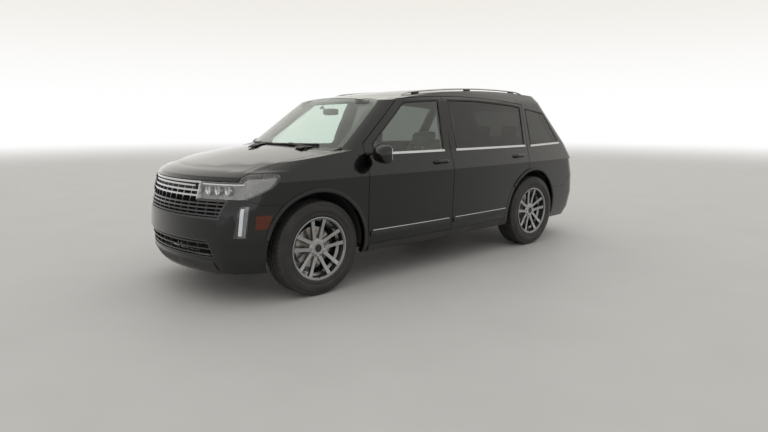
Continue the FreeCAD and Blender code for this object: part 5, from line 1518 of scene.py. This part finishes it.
# Half of the carpet's outline across the car, from the tunnel's middle to the sill
HALF_CARPET = ((0.135, 0.4535), (0.150, 0.450), (0.152, 0.360), (0.172, 0.345), (0.750, 0.346), (0.770, 0.386))
outline = [(-x, z) for x, z in reversed(HALF_CARPET)] + list(HALF_CARPET)
sections = []
for i in range(33):
    y = -1.130 + 2.0 * i / 32
    upper = [Vector((x, y, z)) for x, z in outline]
    lower = [Vector((x * (1.0 if abs(x) > 0.2 else 0.995), y, z - 0.003)) for x, z in reversed(outline)]
    sections.append(upper + lower)
solid_piece("cabin_carpet", carried(sections), "root", carpet, "floor_paint", 40.0)
boot = box_part((-0.760, 0.905, 0.6015), (0.760, 2.30, 0.609))
solid_piece("boot_carpet", boot, "root", carpet, "floor_paint", 30.0, 0.002)
print("linings placed")

# %% [markdown]
# The hood has a felt pad under it that holds noise and heat back, and the tailgate a trim card below its glass. Both
# lie on the panel's inner face, which rays from inside find, and each swells a little between its pressed edges.
# %% Hood pad and tailgate card


def pad_on(node, start_at, way, rows, columns, swell_by):
    """A pad on a panel's inner face: rays leave start_at(u, v) along way, with u and v from -1 to 1."""
    rays = panel_rays([node])
    front, back = [], []
    for i in range(rows):
        for j in range(columns):
            u, v = 2 * j / (columns - 1) - 1, 2 * i / (rows - 1) - 1
            hit = rays.ray_cast(start_at(u, v), way)[0]
            seam = min(1.0, abs(abs(u) - 0.5) * 12) * min(1.0, abs(v) * 9)
            edge = min(1.0, (1 - abs(u)) * 8) * min(1.0, (1 - abs(v)) * 8)
            back.append(hit - way * 0.001)
            front.append(hit - way * (0.003 + swell_by * edge * (0.4 + 0.6 * seam)))
    return closed_sheet(front, back, rows, columns)


def under_hood(u, v):
    """A point below the hood's inner face."""
    return Vector((0.60 * u, -1.88 + 0.32 * v, 0.70))


def inside_gate(u, v):
    """A point ahead of the tailgate's inner face."""
    return Vector((0.62 * u, 1.40, 0.935 + 0.115 * v))


hood_pad = pad_on("hood", under_hood, Vector((0, 0, 1)), 41, 49, 0.008)
solid_piece("hood_pad", hood_pad, "hood", carpet, "floor_paint", 40.0)
gate_card = pad_on("tailgate", inside_gate, Vector((0, 1, 0)), 21, 61, 0.006)
solid_piece("tailgate_card", gate_card, "tailgate", dash_plastic, "dash_plastic", 40.0)
print("pads placed")

# %% [markdown]
# Under the hood a plastic cover with ribs hides the engine, and round it stand the battery, the coolant tank and the
# air box, with moulded rubber pipes between, fixed at both ends. The cover is a sheet of points whose height gives
# the ribs, and the pipes are rings along a bent path.
# %% Engine room


def ribbed_cover(x0, x1, y0, y1, low, rise):
    """A closed cover over a rectangle, with rounded shoulders and ribs across it."""
    rows, columns = 56, 24
    top, base = [], []
    for i in range(rows + 1):
        for j in range(columns + 1):
            u, v = 2 * j / columns - 1, 2 * i / rows - 1
            x, y = x0 + (x1 - x0) * j / columns, y0 + (y1 - y0) * i / rows
            shoulder = (1 - abs(u) ** 6) * (1 - abs(v) ** 8)
            rib = 0.006 * max(0.0, math.sin(9 * math.pi * (v + 1))) ** 0.5 * (1.0 if 0.25 < abs(u) < 0.8 else 0.0)
            top.append(Vector((x, y, low + 0.006 + rise * shoulder ** 0.5 + rib * shoulder)))
            base.append(Vector((x, y, low)))
    return closed_sheet(top, base, rows + 1, columns + 1)


NEAR_UP = Vector((0.1, 0.2, 1.0))


def pipe_part(bends, radius, steps=24):
    """A moulded rubber pipe along a curve with four control points, with a collar at each end for the clip."""
    p0, p1, p2, p3 = [Vector(p) for p in bends]
    sections = []
    for i in range(steps + 1):
        t = i / steps
        spot = p0 * (1 - t) ** 3 + p1 * 3 * t * (1 - t) ** 2 + p2 * 3 * t * t * (1 - t) + p3 * t ** 3
        way = ((p1 - p0) * (1 - t) ** 2 + (p2 - p1) * 2 * t * (1 - t) + (p3 - p2) * t * t).normalized()
        across = way.cross(NEAR_UP).normalized()
        other = way.cross(across)
        thick = radius * (1.14 if i in (1, 2, steps - 2, steps - 1) else 1.0)
        sections.append([spot + (across * math.cos(a) + other * math.sin(a)) * thick for a in round_angles(12)])
    return carried(sections)


# Piece, finish, slot, crease angle, and the cover's x0, x1, y0, y1, low edge and rise
COVERS = (("engine_cover", black_plastic, "black_plastic", 40.0, (-0.255, 0.255, -2.045, -1.515, 1.006, 0.030)),
          ("coolant_tank", headlining, "tank_plastic", 50.0, (-0.505, -0.365, -1.735, -1.555, 0.840, 0.140)),
          ("battery_cover", tank_plastic, "tank_plastic", 50.0, (0.350, 0.510, -1.800, -1.530, 0.800, 0.165)),
          ("air_box", black_plastic, "black_plastic", 50.0, (0.345, 0.540, -2.110, -1.835, 0.840, 0.130)))
for name, finish, slot_name, smooth, extent in COVERS:
    solid_piece(name, ribbed_cover(*extent), "root", finish, slot_name, smooth)
UP = Vector((0, 0, 1))
FILLER = [(0.0, 0.0005), (0.0, 0.030), (0.010, 0.030), (0.014, 0.026), (0.015, 0.0005)]
TANK_CAP = [(0.0, 0.0005), (0.0, 0.026), (0.018, 0.026), (0.022, 0.022), (0.023, 0.0005)]
caps = join_parts([turned_part(FILLER, Vector((0.0, -1.62, 1.040)), UP, 24),
                   turned_part(TANK_CAP, Vector((-0.435, -1.64, 0.985)), UP, 24)])
solid_piece("filler_caps", caps, "root", gloss_black, "black_plastic", 40.0)
# Control points and radius: two radiator pipes, the tank's thin one and the air duct
PIPES = ((((0.20, -2.275, 0.965), (0.20, -2.20, 0.975), (0.24, -2.15, 0.93), (0.24, -2.070, 0.90)), 0.019),
         (((-0.28, -2.275, 0.60), (-0.28, -2.18, 0.60), (-0.24, -2.16, 0.62), (-0.24, -2.070, 0.64)), 0.019),
         (((-0.41, -1.735, 0.90), (-0.41, -1.85, 0.90), (-0.38, -1.90, 0.88), (-0.295, -1.90, 0.88)), 0.011),
         (((0.38, -1.90, 0.95), (0.33, -1.88, 0.985), (0.32, -1.86, 0.985), (0.285, -1.84, 0.975)), 0.024))
pipes = join_parts([pipe_part(bends, radius) for bends, radius in PIPES])
solid_piece("coolant_pipes", pipes, "root", seal_rubber, "black_plastic", 50.0)
print("engine room pieces", len(COVERS) + 2)

# %% [markdown]
# The tail has what its kind has: a handle strip over the plate's place, a high brake lamp at the roof's edge, dark
# lower bumper trim with two reflectors, and a bright lip like a skid plate. The nose has the same dark trim.
# %% Tail and nose trim
# Piece, view, half length, height, width, how proud, how deep, body, finish, slot, sections
STRIPS = (("tailgate_handle", "rear", 0.36, 1.020, 0.030, 0.014, 0.0, "tailgate", bright_trim, "black_plastic", 20),
          ("high_brake_lamp", "rear", 0.22, 1.628, 0.020, 0.006, 0.0, "tailgate", red_light, "red_lens", 14),
          ("rear_valance", "rear", 0.70, 0.400, 0.150, 0.008, 0.0, "root", black_plastic, "black_plastic", 30),
          ("rear_skid", "rear", 0.46, 0.345, 0.046, 0.010, -0.006, "root", bright_trim, "black_plastic", 24),
          ("front_chin", "front", 0.62, 0.318, 0.080, 0.007, 0.0, "root", black_plastic, "black_plastic", 30))
for name, look, half, z, wide, proud, depth, body, finish, slot_name, count in STRIPS:
    strip = moulding(run_between((-half, z), (half, z), count), wide, proud, behind(look, depth))
    solid_piece(name, strip, body, finish, slot_name, 45.0)
reflector_run = [(0.50 + 0.019 * i, 0.588) for i in range(9)]
rear_reflector = moulding(reflector_run, 0.040, 0.011, behind("rear", 0.0))
on_both_sides("rear_reflector", rear_reflector, "root", "root", lens_red, "red_lens")
PIPE_END = [(0.0, 0.034), (0.11, 0.036), (0.112, 0.034), (0.108, 0.032), (0.0, 0.030)]
pipe_end = turned_part(PIPE_END, Vector((-0.23, 2.268, 0.335)), Vector((0.0, 0.93, -0.36)).normalized(),
                       hollow=True)
solid_piece("tail_pipe", pipe_end, "root", exhaust_steel, "exhaust_steel", 45.0)
print("tail and nose trim placed")

# %% [markdown]
# The studio floor is pale grey and dissolves into the white wall far behind. A broad disc with a radial fade does
# it: near the car it is a plain lit surface that takes the shadow, and far off, for camera, glossy and transmission
# rays, it turns into white.
# %% Studio floor
FADE_START, FADE_END = 14.0, 32.0
bm = bmesh.new()
bmesh.ops.create_circle(bm, cap_ends=True, cap_tris=False, segments=96, radius=90.0)
floor_mesh = bpy.data.meshes.new("studio_floor")
bm.to_mesh(floor_mesh)
bm.free()
floor_obj = bpy.data.objects.new("studio_floor", floor_mesh)
bpy.context.scene.collection.objects.link(floor_obj)
floor_finish, tree, surface = material("studio_floor", Roughness=0.55, IOR=1.3)
spot = put(tree, "TexCoord").outputs["Object"]
scuff = put(tree, "TexNoise", Vector=spot, Scale=1.3, Detail=7.0, Roughness=0.6).outputs[0]
fill(tree, surface.inputs["Base Color"], tint(tree, put(tree, "MapRange", scuff, 0.3, 0.7, 0.0, 1.0).outputs[0],
                                               (0.475, 0.47, 0.455), (0.50, 0.495, 0.48)))
distance = put(tree, "VectorMath", spot, operation="LENGTH").outputs["Value"]
fade = put(tree, "MapRange", distance, FADE_START, FADE_END, 0.0, 1.0, interpolation_type="SMOOTHSTEP").outputs[0]
path = put(tree, "LightPath")
seen = math_of(tree, "MAXIMUM", path.outputs["Is Camera Ray"],
               math_of(tree, "MAXIMUM", path.outputs["Is Glossy Ray"], path.outputs["Is Transmission Ray"]))
white = put(tree, "Emission", (1.0, 1.0, 1.0, 1.0), 1.0)
mix = put(tree, "MixShader", math_of(tree, "MULTIPLY", fade, seen))
tree.links.new(surface.outputs[0], mix.inputs[1])
tree.links.new(white.outputs[0], mix.inputs[2])
tree.links.new(mix.outputs[0], tree.nodes["Material Output"].inputs[0])
floor_obj.data.materials.append(floor_finish)
print("floor", floor_obj.name)

# %% [markdown]
# The wall is white at the horizon and a little creamy higher up. It is only the world's colour for camera, glossy
# and transmission rays, while a weaker even grey lights the car, so that paint renders about as it is written.
# %% Studio wall and lamps
world = bpy.data.worlds.new("studio_wall")
bpy.context.scene.world = world
world.use_nodes = True
tree = world.node_tree
tree.nodes.clear()
toward = put(tree, "SeparateXYZ", put(tree, "TexCoord").outputs["Generated"]).outputs["Z"]
rise = put(tree, "MapRange", toward, 0.02, 0.22, 0.0, 1.0, interpolation_type="SMOOTHSTEP").outputs[0]
wall_colour = tint(tree, rise, (1.0, 1.0, 1.0), (0.865, 0.84, 0.79))
shown = put(tree, "Background", wall_colour, 1.0)
ambient = put(tree, "Background", (1.0, 0.99, 0.97, 1.0), 0.80)
path = put(tree, "LightPath")
seen = math_of(tree, "MAXIMUM", path.outputs["Is Camera Ray"],
               math_of(tree, "MAXIMUM", path.outputs["Is Glossy Ray"], path.outputs["Is Transmission Ray"]))
mix = put(tree, "MixShader", seen)
tree.links.new(ambient.outputs[0], mix.inputs[1])
tree.links.new(shown.outputs[0], mix.inputs[2])
tree.links.new(mix.outputs[0], put(tree, "OutputWorld").inputs[0])
# Ceiling panels: name, where the light comes from, strength
CEILING = [("ceiling_rear_right", (-3.0, 3.0, 6.0), 0.55), ("ceiling_front", (1.0, -4.0, 6.0), 0.25)]
for name, comes_from, strength in CEILING:
    lamp = bpy.data.lights.new(name, "SUN")
    lamp.energy, lamp.angle = strength, math.radians(75.0)
    lamp.color = (1.0, 0.985, 0.96)
    lamp_obj = bpy.data.objects.new(name, lamp)
    bpy.context.scene.collection.objects.link(lamp_obj)
    lamp_obj.location = comes_from
    lamp_obj.visible_glossy = False
    lamp_obj.rotation_euler = (-Vector(comes_from)).to_track_quat("-Z", "Y").to_euler()
print("ceiling panels", len(CEILING))
